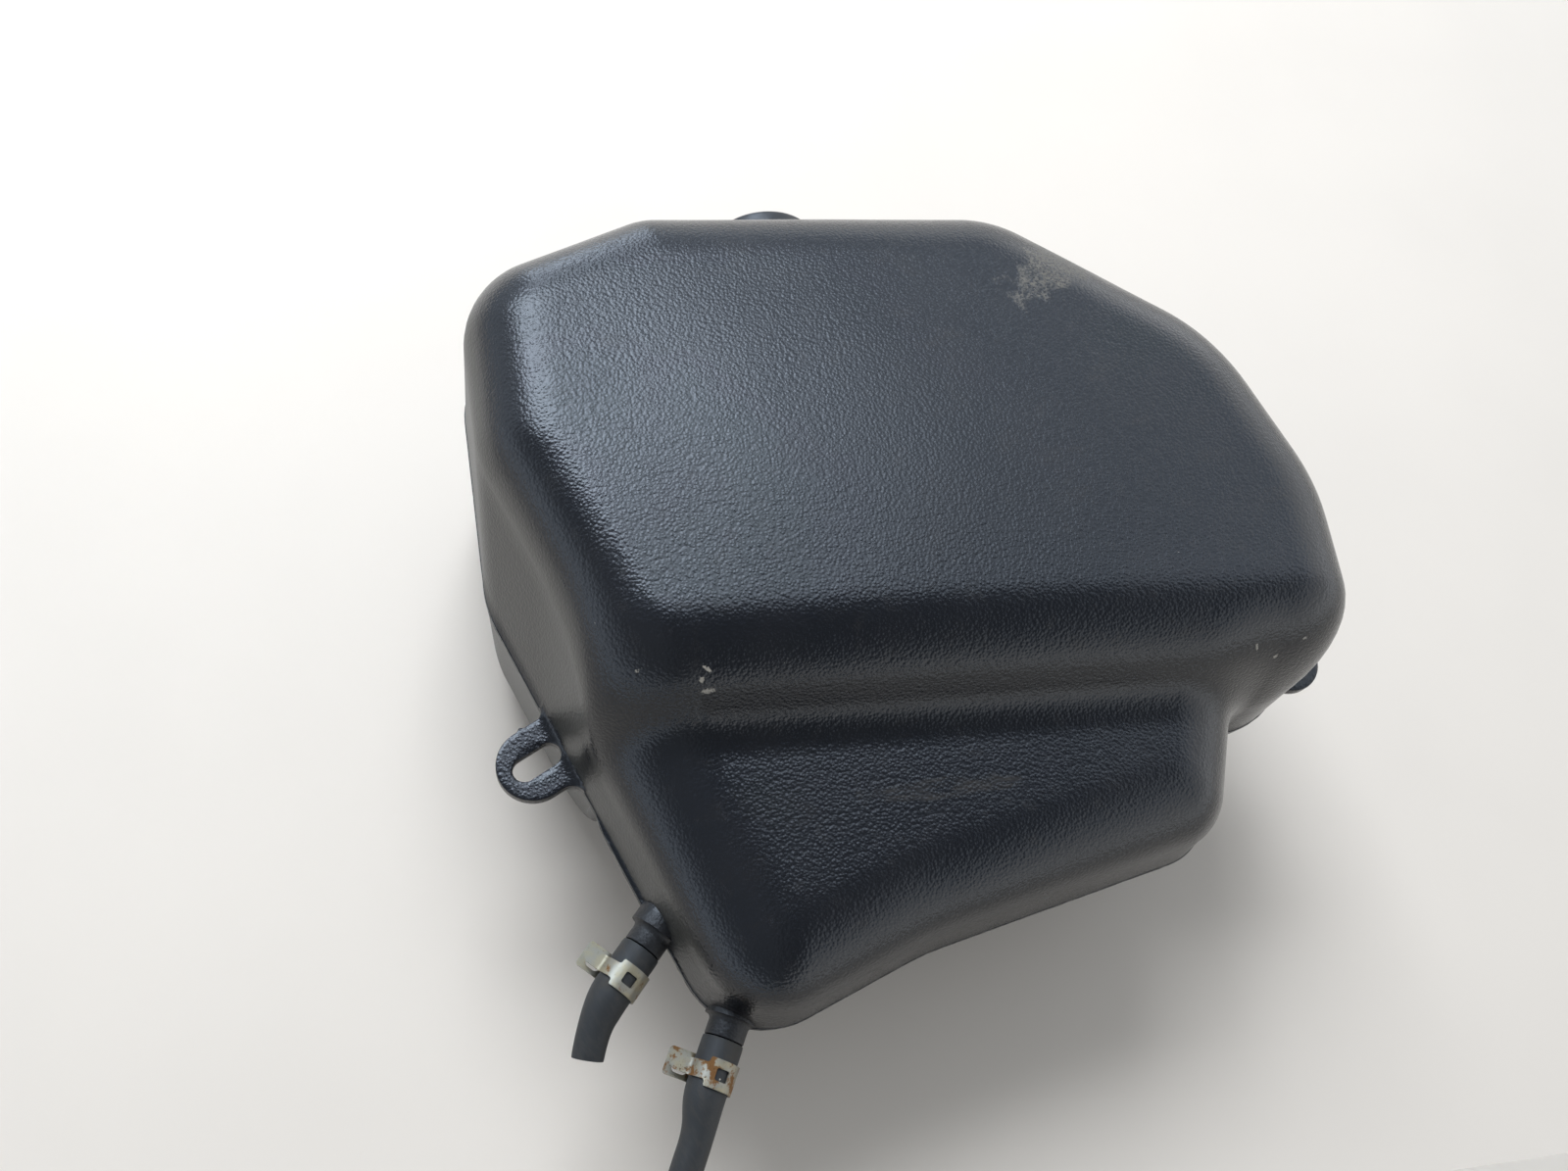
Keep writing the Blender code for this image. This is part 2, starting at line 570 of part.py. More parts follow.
def build_strainer():
    """A slotted cup pushed over the inner end of the bottom spigot."""
    look = material("strainer_nylon", (0.7, 0.7, 0.62), 0.5)
    mouth = FLANGE_AT - FLANGE_HALF - GAP
    end = mouth - STRAINER_LENGTH
    bore = SPIGOT_RADIUS - TAIL_STEP + GAP
    inner = STRAINER_RADIUS - STRAINER_WALL
    profile = [
        (bore, mouth),
        (STRAINER_RADIUS, mouth),
        (STRAINER_RADIUS, end),
        (0, end),
        (0, end + STRAINER_WALL),
        (inner, end + STRAINER_WALL),
        (inner, SPIGOT_TAIL),
        (bore, SPIGOT_TAIL),
    ]
    matrix = outlet_matrix(BOTTOM_ROOT, BOTTOM_WAY)
    cup = turned("outlet_strainer", profile, look, matrix, steps=24)
    bm = bmesh.new()
    for turn in range(SLOT_TURNS):
        for row in range(SLOT_ROWS):
            height = end + (row + 1) * SLOT_PITCH
            placed = Matrix.Rotation(math.pi * turn / SLOT_TURNS, 4, "Z")
            placed = placed @ Matrix.Translation((0, 0, height)) @ Matrix.Diagonal((*SLOT_SIZE, 1))
            bmesh.ops.create_cube(bm, size=1, matrix=placed)
    slots = add("strainer_slots", mesh_from(bm, "strainer_slots"), cutters)
    slots.matrix_world = matrix
    combine(cup, slots, "DIFFERENCE")


def build_hose(name, root, way, bend, look):
    """A hose stretched over the spigot, and its own size from there on to its cut end."""
    out = Vector((way.x, 0, way.y)).normalized()
    start = in_seam(root)
    fitted = [start + out * at for at in HOSE_LEADS]
    free = [Vector((x * MM, SEAM_Y + y * MM, z * MM)) for x, z, y in bend]
    curve = bpy.data.curves.new(name, "CURVE")
    curve.dimensions = "3D"
    curve.bevel_depth = HOSE_FITTED
    curve.bevel_resolution = 4
    spline = curve.splines.new("NURBS")
    spline.points.add(len(fitted) + len(free) - 1)
    spline.order_u = 3
    spline.use_endpoint_u = True
    spline.resolution_u = 4
    for i, (point, spot) in enumerate(zip(spline.points, fitted + free)):
        point.co = (*spot, 1)
        point.radius = 1 if i < len(fitted) else HOSE_RELAXED / HOSE_FITTED
    curve.resolution_u = 4
    hose = add(name, curve, look=look)
    solidify = hose.modifiers.new("wall", "SOLIDIFY")
    solidify.thickness = HOSE_WALL


def build_clamp(name, root, way, look):
    """A spring band with a window in its wide end and a tongue on its narrow one."""
    inner = HOSE_FITTED + GAP
    outer = inner + CLAMP_SHEET
    bend = CLAMP_GAP + CLAMP_SHEET
    near = math.degrees(math.asin(CLAMP_GAP / inner))
    far = math.degrees(math.asin(bend / outer))
    outline = [(CLAMP_REACH, bend), (CLAMP_REACH, CLAMP_GAP)]
    outline += arc((0, 0), inner, near, 360 - near, 28)
    outline += [(CLAMP_REACH, -CLAMP_GAP), (CLAMP_REACH, -bend)]
    outline += arc((0, 0), outer, 360 - far, far, 28)
    matrix = outlet_matrix(root, way, CLAMP_AT)
    band = plate(name, [outline], CLAMP_WIDTH / 2, matrix)
    cutters.objects.unlink(band)
    parts.objects.link(band)
    band.hide_render = False
    band.display_type = "TEXTURED"
    band.data.materials.append(look)
    bm = bmesh.new()
    reach = (CLAMP_REACH + outer) / 2 + WINDOW_SHIFT
    shoulder = (CLAMP_WIDTH - TONGUE_WIDTH) / 2 + CUT_PAST
    boxes = [((reach, bend, 0), (WINDOW_LENGTH, bend, WINDOW_WIDTH))]
    for turn in (-1, 1):
        spot = (CLAMP_REACH, -bend, turn * (TONGUE_WIDTH + shoulder) / 2)
        boxes.append((spot, (2 * (CLAMP_REACH - outer - TONGUE_ROOT), bend, shoulder)))
    for spot, size in boxes:
        placed = Matrix.Translation(spot) @ Matrix.Diagonal((*size, 1))
        bmesh.ops.create_cube(bm, size=1, matrix=placed)
    windows = add(f"{name}_windows", mesh_from(bm, "windows"), cutters)
    windows.matrix_world = matrix
    combine(band, windows, "DIFFERENCE")


def build_outlets():
    nylon = material("spigot_nylon", (0.015, 0.015, 0.017), 0.4)
    rubber = material("hose_rubber", (0.018, 0.018, 0.019), 0.6)
    zinc = material("clamp_zinc", (0.55, 0.52, 0.42), 0.35, 1.0)
    for label, root, way, bend in (
        ("side", SIDE_ROOT, SIDE_WAY, SIDE_HOSE_BEND),
        ("bottom", BOTTOM_ROOT, BOTTOM_WAY, BOTTOM_HOSE_BEND),
    ):
        build_spigot(f"{label}_spigot", root, way, nylon.copy())
        build_hose(f"{label}_hose", root, way, bend, rubber.copy())
        build_clamp(f"{label}_hose_clamp", root, way, zinc.copy())
    build_strainer()


def main():
    clear_scene()
    build_shells()
    build_neck()
    build_cap()
    build_gasket()
    build_vent()
    build_outlets()


main()
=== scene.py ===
"""Looks of the moulded fluid tank: fine shells, hoses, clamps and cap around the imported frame.

Lengths are millimetres times MM. X runs across the tank, Z is up and the front faces -Y. The
origin is the centre of the flat pad on the back of the rear shell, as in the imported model.
"""

import math
from collections import namedtuple
from functools import partial, reduce

import bmesh
import bpy
import numpy as np
from mathutils import Matrix, Vector, noise
from mathutils.geometry import delaunay_2d_cdt


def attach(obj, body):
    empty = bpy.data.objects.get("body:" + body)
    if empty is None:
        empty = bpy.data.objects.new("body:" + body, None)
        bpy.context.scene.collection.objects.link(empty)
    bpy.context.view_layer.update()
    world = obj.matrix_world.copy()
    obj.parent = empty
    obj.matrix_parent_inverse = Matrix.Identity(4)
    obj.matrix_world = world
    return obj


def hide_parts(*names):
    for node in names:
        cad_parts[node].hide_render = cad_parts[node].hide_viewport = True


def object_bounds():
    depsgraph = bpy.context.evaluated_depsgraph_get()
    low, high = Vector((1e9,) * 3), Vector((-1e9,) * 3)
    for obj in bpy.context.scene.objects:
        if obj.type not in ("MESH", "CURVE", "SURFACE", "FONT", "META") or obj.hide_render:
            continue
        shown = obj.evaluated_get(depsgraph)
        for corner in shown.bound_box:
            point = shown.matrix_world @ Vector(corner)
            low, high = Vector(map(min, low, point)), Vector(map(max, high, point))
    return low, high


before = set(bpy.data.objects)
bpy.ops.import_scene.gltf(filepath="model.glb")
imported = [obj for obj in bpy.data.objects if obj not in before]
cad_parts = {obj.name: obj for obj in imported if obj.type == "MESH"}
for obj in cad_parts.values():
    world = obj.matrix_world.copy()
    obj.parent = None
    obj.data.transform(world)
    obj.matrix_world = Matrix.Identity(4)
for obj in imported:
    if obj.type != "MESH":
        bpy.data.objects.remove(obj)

MM = 0.001
GAP = 0.3 * MM
SMOOTH_ANGLE, SHEET_SMOOTH_ANGLE = 40, 35

# Seam outline, front view: x, z and corner radius in mm, anticlockwise from the upper left corner.
SEAM_CORNERS = [
    (-150.3, 80.8, 33.2),
    (-144.2, -16.3, 51.2),
    (-75.6, -173.5, 29.2),
    (-7.6, -147.2, 118.8),
    (97.9, -123, 23.2),
    (110.9, -81.1, 8.8),
    (147.2, -78.1, 33),
    (148.7, -8.8, 76.2),
    (124, 54.8, 76.2),
    (44.4, 108.7, 46.2),
    (-86.3, 108.7, 29.2),
]
SIDE_SHARES = [0.94, 1.2, 1, 1, 1, 1, 1, 1, 1, 1, 1]  # how far each side moves in, of a distance
LEANING_SIDE = 1  # the long lower left side, whose wall leans in where the front shell is deep
LEAST_RADIUS, MOST_HOLLOW_RADIUS = 8 * MM, 30 * MM
TOP_Z = 108.7 * MM
ARC_STEPS, SIDE_STEP, NET_STEP = 12, 2.6 * MM, 3 * MM

# Each shell steps back near its lower end: a round shoulder, a slope at the step's angle in degrees
# and a hollow; below it the face tapers. Draft and lean are how far the wall comes in at the top.
Side = namedtuple("Side", "sign deep shallow draft lean crown step_top angle shoulder hollow taper")
FRONT = Side(
    -1, 75 * MM, 45 * MM, 1.8 * MM, 10.5 * MM, 3 * MM, -46 * MM, 65, 30 * MM, 15 * MM, 0.09
)
REAR = Side(1, 82 * MM, 20 * MM, 1.5 * MM, 0, 0, -55 * MM, 84, 30 * MM, 6 * MM, 0)
SEAM_Y = -REAR.deep
WALL = 2.8 * MM
FLANGE_WIDTH, FLANGE_THICKNESS, FLANGE_ROUND = 0.32 * MM, 1.8 * MM, 0.1 * MM
FACE_INSET, EDGE_STEPS, WALL_STEPS, INNER_STEPS = 30 * MM, 14, 7, 5
EDGE_SHARE = 0.6
CROWN_Z, CROWN_HALF_X, CROWN_HALF_Z = 15 * MM, 130 * MM, 95 * MM
RIPPLE_DEPTH, RIPPLE_SIZE, RIPPLE_FADE = 0.35 * MM, 38 * MM, 6 * MM
FLASH_DEPTH, FLASH_SIZE = 0.25 * MM, 4 * MM
LIP_LOW, LIP_HIGH, LIP_FADE, LIP_WIDTH = -128 * MM, -92 * MM, 5 * MM, 0.9 * MM

# Mounting ears: slot middle, way out of the tank, half the slot's centre distance, middle of the
# round end, root radius on either side, where a flash tip stands on the lower edge, and how far
# inside the seam outline the tank's wall is that the ear runs up.
Ear = namedtuple("Ear", "middle way reach round_at roots tip inset")
LEFT_EAR = Ear(
    (-130, -72.5), (-0.87, -0.49), 4.65 * MM, 1.2 * MM, (3 * MM, 5 * MM), -1.5 * MM, 2.2 * MM
)
RIGHT_EAR = Ear(
    (153, -55), (0.95, -0.31), 0.3 * MM, -2.5 * MM, (4 * MM, 3 * MM), -6 * MM, 0.5 * MM
)
EAR_HALF_THICKNESS, EAR_RADIUS, EAR_ROUND = 2.3 * MM, 12.5 * MM, 0.5 * MM
EAR_BLEND_WIDTH, EAR_BLEND_HEIGHT, EAR_INSIDE = 6 * MM, 6.5 * MM, 5 * MM
SLOT_RADIUS = 4.1 * MM
TIP_HEIGHT, TIP_HALF = 0.9 * MM, 1.3 * MM
EAR_OUT, EAR_IN, EAR_TRIES = 20 * MM, -30 * MM, 501  # stations tried for where its sides start
EAR_STEP, EAR_FLAT, STUB_FLAT = 1.3 * MM, 0.6 * GAP, 0.8 * GAP
EASES = (0.25, 1)  # of the edge radius: loops of points that carry a rounded edge

SHEET_SIZE, FLOOR_SIZE, SHEET_GAP = 6.0, 12.0, 0.5 * MM
SHEET_COLOUR, FLOOR_COLOUR = (0.82, 0.80, 0.77), (0.66, 0.645, 0.62)
SOFT_LIGHT, BACKDROP, OVERHEAD_POWER, REAR_POWER = 0.42, 0.86, 22, 18
CAMERA_AZIMUTH, CAMERA_HEIGHT, CAMERA_ROLL = -12, -22, -7.52  # degrees
CAMERA_TARGET, CAMERA_AWAY = (-38 * MM, SEAM_Y, -12.5 * MM), 0.5
LENS, SENSOR, CLIP_START = 31.5, 36, 0.01

FILLER_X = -28.6 * MM
BOSS_RADIUS, BOSS_TOP = 24 * MM, 112 * MM
NECK_RADIUS = 17.5 * MM
HOLE_LOW, HOLE_HIGH, DRILL_SIDES = 90 * MM, 130 * MM, 64
CAP_BORE, CAP_RADIUS, CAP_TOP, CAP_SKIRT = 19.4 * MM, 21 * MM, 139 * MM, 117.5 * MM
CAP_CEILING = CAP_TOP - 2.9 * MM
CAP_ROUND, CAP_VENT, CAP_EDGE = 1.8 * MM, 1.2 * MM, 0.15 * MM
CAP_DISH = ((15.2, 0.9), (15.8, 0.7), (16.4, 0.15), (17, 0))  # radius and depth below the top, mm
SKIRT_LOW, SKIRT_HIGH, SKIRT_RINGS = 118.5, 136.5, 19
CAP_RIBS, RIB_HEIGHT, RIB_SHAPE, CAP_AROUND = 24, 0.55 * MM, 0.7, 288
RIB_LOW, RIB_HIGH = CAP_SKIRT + 1.2 * MM, CAP_TOP - 5 * MM
VENT_BORE, VENT_WALL, VENT_FLOOR = 5.2 * MM, 2.4 * MM, 124 * MM

Outlet = namedtuple("Outlet", "name root way bend flat rust")
SIDE_OUTLET = Outlet(
    "side", (-95.8, -131.5), (-0.653, -0.757), [(-117.5, -160, 1.5), (-119.5, -168, 3)], 0.82, 0.35
)
BOTTOM_OUTLET = Outlet(
    "bottom", (-73.9, -161.1), (-0.433, -0.901),
    [(-87, -193, 1), (-92, -204, 3), (-98, -218, 6), (-107, -238, 11)], 1.0, 0.75,
)
STUB_RADIUS, STUB_END, STUB_FLARE, SPIGOT_HOLE = 6.5 * MM, 6.5 * MM, 2 * MM, 4.3 * MM
STUB_SINK, BORE_REACH, HALF_ROUND_STEPS = 6 * MM, 20 * MM, 32
STUB_RIM = ((0.4, 0), (0.1, 0.15), (0, 0.4))  # mm short of the end and of the radius
HOSE_FITTED, HOSE_RELAXED, HOSE_WALL = 6.8 * MM, 5.2 * MM, 2 * MM
HOSE_FITTED_AT = (6.8, 12, 19, 25)  # mm from the outlet's root
FITTED_RIM, CUT_RIM = (0.5 * MM, 0.12 * MM), (0.4 * MM, 0.1 * MM)  # end radius, edge radius
HOSE_STEP, HOSE_AROUND, HOSE_WOBBLE = 1.2 * MM, 56, 0.012
CLAMP_WIDTH, CLAMP_SHEET, CLAMP_AT = 9 * MM, 0.6 * MM, 17.5 * MM
CLAMP_REACH, CLAMP_GAP, CLAMP_BEND = 15 * MM, 2.2 * MM, 1.5 * MM
TONGUE_AT, TONGUE_HALF, SHOULDER_AT = 1 * MM, 2.6 * MM, 14.6 * MM
SHOULDER_ROUND, TANG_ROUND = 0.9 * MM, 1.2 * MM
FRONT_WINDOW = ((17.4, -1.9), (21.8, 1.9), 0.7)  # corners and radius, mm along the sheet and across
REAR_WINDOW = ((-7.4, -3.0), (-2.4, 3.0), 1.4)  # the same, from the sheet's rear end
CLAMP_STEP = 0.7 * MM


def direction(pair):
    return Vector((pair[0], pair[1])).normalized()


def outward(outlet):
    way = direction(outlet.way)
    return Vector((way.x, 0, way.y))


def corner_radius(radius, turn, distance):
    if turn > 0:
        return max(radius - distance, LEAST_RADIUS)
    return min(radius + distance, max(MOST_HOLLOW_RADIUS, radius))


def moved_corner(before, after, first, second):
    """How far a corner moves when its two sides move by first and second along their normals."""
    even = before.dot(after)
    return (before * (first - second * even) + after * (second - first * even)) / (1 - even * even)


def outline_arcs(distance, lean):
    """The seam outline moved inwards, its leaning side further, as one arc (x, z) per corner."""
    count = len(SEAM_CORNERS)
    spots = [Vector((x, z)) * MM for x, z, _ in SEAM_CORNERS]
    along = [(spots[(i + 1) % count] - spots[i]).normalized() for i in range(count)]
    shifts = [distance * share for share in SIDE_SHARES]
    shifts[LEANING_SIDE] += lean
    arcs = []
    for i, corner in enumerate(SEAM_CORNERS):
        before, after = (Vector((-way.y, way.x)) for way in (along[i - 1], along[i]))
        spot = spots[i] + moved_corner(before, after, shifts[i - 1], shifts[i])
        turn = math.atan2(along[i - 1].cross(along[i]), along[i - 1].dot(along[i]))
        radius = math.copysign(corner_radius(corner[2] * MM, turn, distance), turn)
        start = spot - along[i - 1] * abs(radius * math.tan(turn / 2))
        centre = start + before * radius
        arcs.append(
            [
                centre + Matrix.Rotation(turn * step / ARC_STEPS, 2) @ (start - centre)
                for step in range(ARC_STEPS + 1)
            ]
        )
    return arcs


def side_counts():
    arcs = outline_arcs(0, 0)
    ends = [(arc[-1], arcs[(i + 1) % len(arcs)][0]) for i, arc in enumerate(arcs)]
    return [max(2, round((b - a).length / SIDE_STEP)) for a, b in ends]


SIDE_COUNTS = side_counts()


def rounded_outline(distance, lean=0.0):
    """The whole outline at this distance; its points match those at any other distance."""
    arcs = outline_arcs(distance, lean)
    points = []
    for i, arc in enumerate(arcs):
        end = arcs[(i + 1) % len(arcs)][0]
        points += arc
        points += [arc[-1].lerp(end, k / SIDE_COUNTS[i]) for k in range(1, SIDE_COUNTS[i])]
    return np.array(points)


def face_depth(side, x, z):
    """Depth of the broad face from the seam: deep above, rounded down to a shallow lower part."""
    angle, drop = math.radians(side.angle), side.deep - side.shallow
    slope = (drop - (side.shoulder + side.hollow) * (1 - math.cos(angle))) / math.sin(angle)
    slope_start = side.shoulder * math.sin(angle)
    slope_end = slope_start + slope * math.cos(angle)
    foot = slope_end + side.hollow * math.sin(angle)
    fall = np.maximum(side.step_top - z, 0)
    rounded = side.deep - side.shoulder + np.sqrt(
        side.shoulder**2 - np.minimum(fall, slope_start) ** 2)
    sloped = rounded - (np.minimum(fall, slope_end) - slope_start) * math.tan(angle)
    hollow = side.shallow + side.hollow - np.sqrt(
        side.hollow**2 - np.clip(foot - fall, 0, side.hollow) ** 2)
    tapered = side.shallow - side.taper * (fall - foot)
    level = np.select([fall < slope_start, fall < slope_end, fall < foot],
                      [rounded, sloped, hollow], tapered)
    dome = np.maximum(0, 1 - (x / CROWN_HALF_X) ** 2 - ((z - CROWN_Z) / CROWN_HALF_Z) ** 2)
    return level + side.crown * dome**2


def ring(outline, depth):
    return np.column_stack([outline, np.broadcast_to(depth, len(outline))])


def edge_ring(side, thickness, angle):
    """The ring of the round edge at this angle, 0 at the wall and 90 degrees at the face."""
    edge = FACE_INSET - side.draft
    inset = FACE_INSET - (edge - thickness) * math.cos(angle)
    upright = rounded_outline(inset)
    leaning = rounded_outline(inset, side.lean * math.cos(angle))
    depth = face_depth(side, upright[:, 0], upright[:, 1])
    wall = (depth - np.minimum(edge, EDGE_SHARE * depth)) / (side.deep - edge)
    outline = upright + (leaning - upright) * wall[:, None] ** 2
    depth = face_depth(side, outline[:, 0], outline[:, 1])
    radius = np.minimum(edge, EDGE_SHARE * depth) - thickness
    return ring(outline, depth - thickness - radius * (1 - math.sin(angle)))


def inside(points, outline):
    """Which points are in a closed outline, by counting the sides to their right."""
    a, b = outline, np.roll(outline, -1, 0)
    x, y = points[:, None, 0], points[:, None, 1]
    spans = (a[:, 1] > y) != (b[:, 1] > y)
    rise = np.where(a[:, 1] == b[:, 1], 1, b[:, 1] - a[:, 1])
    crossing = a[:, 0] + (b[:, 0] - a[:, 0]) * (y - a[:, 1]) / rise
    return (spans & (x < crossing)).sum(1) % 2 == 1


def distance_to(points, outline):
    """Distance of each point from a closed outline."""
    a = outline
    step = np.roll(outline, -1, 0) - a
    away = points[:, None] - a
    share = np.clip((away * step).sum(2) / np.maximum((step**2).sum(1), 1e-12), 0, 1)
    return np.linalg.norm(away - share[..., None] * step, axis=2).min(1)


def grid(low, high, step):
    xs, ys = (np.arange(low[i], high[i] + step, step) for i in (0, 1))
    return np.array([(x, y) for y in ys for x in xs])


def triangulated(loops, spots):
    """Triangles over loops of points and loose spots, between the first loop and the rest."""
    points = np.vstack(loops + [spots])
    sides, first = [], 0
    for loop in loops:
        sides += [(first + i, first + (i + 1) % len(loop)) for i in range(len(loop))]
        first += len(loop)
    found = delaunay_2d_cdt([Vector(p) for p in points], sides, [], 1, 1e-7)
    triangles = np.array(found[2])
    middles = points[triangles].mean(1)
    keep = inside(middles, loops[0])
    for hole in loops[1:]:
        keep &= ~inside(middles, hole)
    return points, triangles[keep]


def linked(name, data):
    """A new object in the scene."""
    obj = bpy.data.objects.new(name, data)
    bpy.context.scene.collection.objects.link(obj)
    return obj


def linked_mesh(name, bm):
    mesh = bpy.data.meshes.new(name)
    bm.to_mesh(mesh)
    bm.free()
    return linked(name, mesh)


def sheet_object(name, vertices, faces):
    """A mesh whose normals face out, or all to one side if it is open."""
    bm = bmesh.new()
    made = [bm.verts.new(v) for v in vertices]
    for face in faces:
        bm.faces.new([made[i] for i in face])
    bmesh.ops.recalc_face_normals(bm, faces=bm.faces)
    return linked_mesh(name, bm)


def mesh_object(name, vertices, faces):
    obj = sheet_object(name, vertices, faces)
    shade(obj.data, SMOOTH_ANGLE)
    return obj


def shade(mesh, smooth_angle):
    mesh.polygons.foreach_set("use_smooth", [True] * len(mesh.polygons))
    mesh.set_sharp_from_angle(angle=math.radians(smooth_angle))


def lofted(rings):
    """Faces between rings of equal length, whose points are numbered one ring after another."""
    count = len(rings[0])
    return [
        (k * count + (i - 1) % count, k * count + i, (k + 1) * count + i,
         (k + 1) * count + (i - 1) % count)
        for k in range(len(rings) - 1)
        for i in range(count)
    ]


def ragged(outline, seed):
    """An outline pulled in here and there, as trimmed flash; a thin lip stays at the lower left."""
    middle = np.roll(outline, -1, 0) - np.roll(outline, 1, 0)
    middle /= np.linalg.norm(middle, axis=1)[:, None]
    inward = np.column_stack([-middle[:, 1], middle[:, 0]])
    rough = [noise.noise(Vector((x / FLASH_SIZE, z / FLASH_SIZE, seed))) for x, z in outline]
    x, z = outline.T
    lip = np.clip((z - LIP_LOW) / LIP_FADE, 0, 1) * np.clip((LIP_HIGH - z) / LIP_FADE, 0, 1)
    lip *= LIP_WIDTH * (x < 0)
    moved = np.maximum(np.array(rough), 0) * FLASH_DEPTH - lip
    return outline + inward * moved[:, None]


def shell_rings(side):
    """Outer rings from the face to the flange, then the inner ones back to the face."""
    turns = np.radians(np.linspace(90, 0, EDGE_STEPS + 1))
    rings = [edge_ring(side, 0, angle) for angle in turns]
    foot = ring(rounded_outline(0), FLANGE_THICKNESS + FLANGE_ROUND)
    rings += [rings[-1] + (foot - rings[-1]) * k / WALL_STEPS for k in range(1, WALL_STEPS + 1)]
    outer = len(rings)
    rim = ragged(rounded_outline(-FLANGE_WIDTH), side.sign)
    near_rim = ragged(rounded_outline(FLANGE_ROUND - FLANGE_WIDTH), side.sign)
    rings.append(ring(rounded_outline(-FLANGE_ROUND), FLANGE_THICKNESS))
    rings.append(ring(near_rim, FLANGE_THICKNESS))
    rings.append(ring(rim, FLANGE_THICKNESS - FLANGE_ROUND))
    rings.append(ring(rim, GAP / 2 + FLANGE_ROUND / 2))
    rings.append(ring(near_rim, GAP / 2))
    rings.append(ring(rounded_outline(WALL), GAP / 2))
    inner_turns = np.radians(np.linspace(0, 90, INNER_STEPS + 1))
    rings += [edge_ring(side, WALL, angle) for angle in inner_turns]
    return rings, outer


def rippled(obj, side, count):
    """Lets the first count vertices sink a little and unevenly, as the skin of a moulding does."""
    mesh = obj.data
    for vertex in mesh.vertices[:count]:
        spot = vertex.co
        depth = side.sign * (spot.y - SEAM_Y)
        fade = min(max(depth - FLANGE_THICKNESS, 0) / RIPPLE_FADE, 1)
        rise = 0.5 + 0.5 * noise.noise(spot / RIPPLE_SIZE + Vector((side.sign, 3, 7)))
        vertex.co = spot - vertex.normal * (RIPPLE_DEPTH * rise * fade)


def shell_body(name, side):
    rings, outer = shell_rings(side)
    count = len(rings[0])
    face_outline, limit = rounded_outline(FACE_INSET), rounded_outline(FACE_INSET + NET_STEP / 2)
    spots = grid(limit.min(0), limit.max(0), NET_STEP)
    spots = spots[inside(spots, limit)]
    _, triangles = triangulated([face_outline], spots)
    nets = [
        ring(spots, face_depth(side, spots[:, 0], spots[:, 1]) - thickness)
        for thickness in (0, WALL)
    ]
    points = np.vstack([nets[0]] + rings + [nets[1]])
    first_ring = len(spots)
    faces = [[first_ring + i for i in face] for face in lofted(rings)]
    last_ring = first_ring + (len(rings) - 1) * count
    net_ids = np.arange(len(spots))
    outer_ids = np.concatenate([first_ring + np.arange(count), net_ids])
    inner_ids = np.concatenate([last_ring + np.arange(count), last_ring + count + net_ids])
    faces += outer_ids[triangles].tolist() + inner_ids[triangles].tolist()
    vertices = [(x, SEAM_Y + side.sign * depth, z) for x, z, depth in points]
    obj = mesh_object(name, vertices, faces)
    rippled(obj, side, first_ring + outer * count)
    return obj


def arc(centre, radius, start, end, steps):
    """Points on an arc between two angles in degrees."""
    turns = np.radians(np.linspace(start, end, steps + 1))
    return np.column_stack(
        [centre[0] + radius * np.cos(turns), centre[1] + radius * np.sin(turns)]
    )


def moved_in(loop, distance):
    """A closed anticlockwise loop with each point moved inwards by distance."""
    step = np.roll(loop, -1, 0) - np.roll(loop, 1, 0)
    step /= np.linalg.norm(step, axis=1)[:, None]
    return loop + distance * np.column_stack([-step[:, 1], step[:, 0]])


def ear_outline(ear, to_seam, wall):
    """The ear in its own plane: flared roots, parallel sides with a flash tip, and a round end."""
    sides = []
    out = np.linspace(EAR_OUT, EAR_IN, EAR_TRIES)
    for turn, root in zip((-1, 1), ear.roots):
        at = np.column_stack([out, np.full(len(out), turn * (EAR_RADIUS + root))])
        foot = out[np.argmax(inside(to_seam(at), wall))]
        flare = arc((foot + root, EAR_RADIUS + root), root, 180, 270, 8)
        straight = np.linspace(foot + root, ear.round_at, 14)[1:-1]
        lift = 0.0
        if turn < 0:
            lift = TIP_HEIGHT * np.maximum(0, 1 - abs(straight - ear.tip) / TIP_HALF)
        edge = np.column_stack([straight, EAR_RADIUS + lift + 0 * straight])
        start = [(foot - EAR_INSIDE, EAR_RADIUS + root)]
        sides.append(np.vstack([start, flare, edge]) * (1, turn))
    end = arc((ear.round_at, 0), EAR_RADIUS, -90, 90, 28)
    return np.vstack([sides[0], end, sides[1][::-1]])


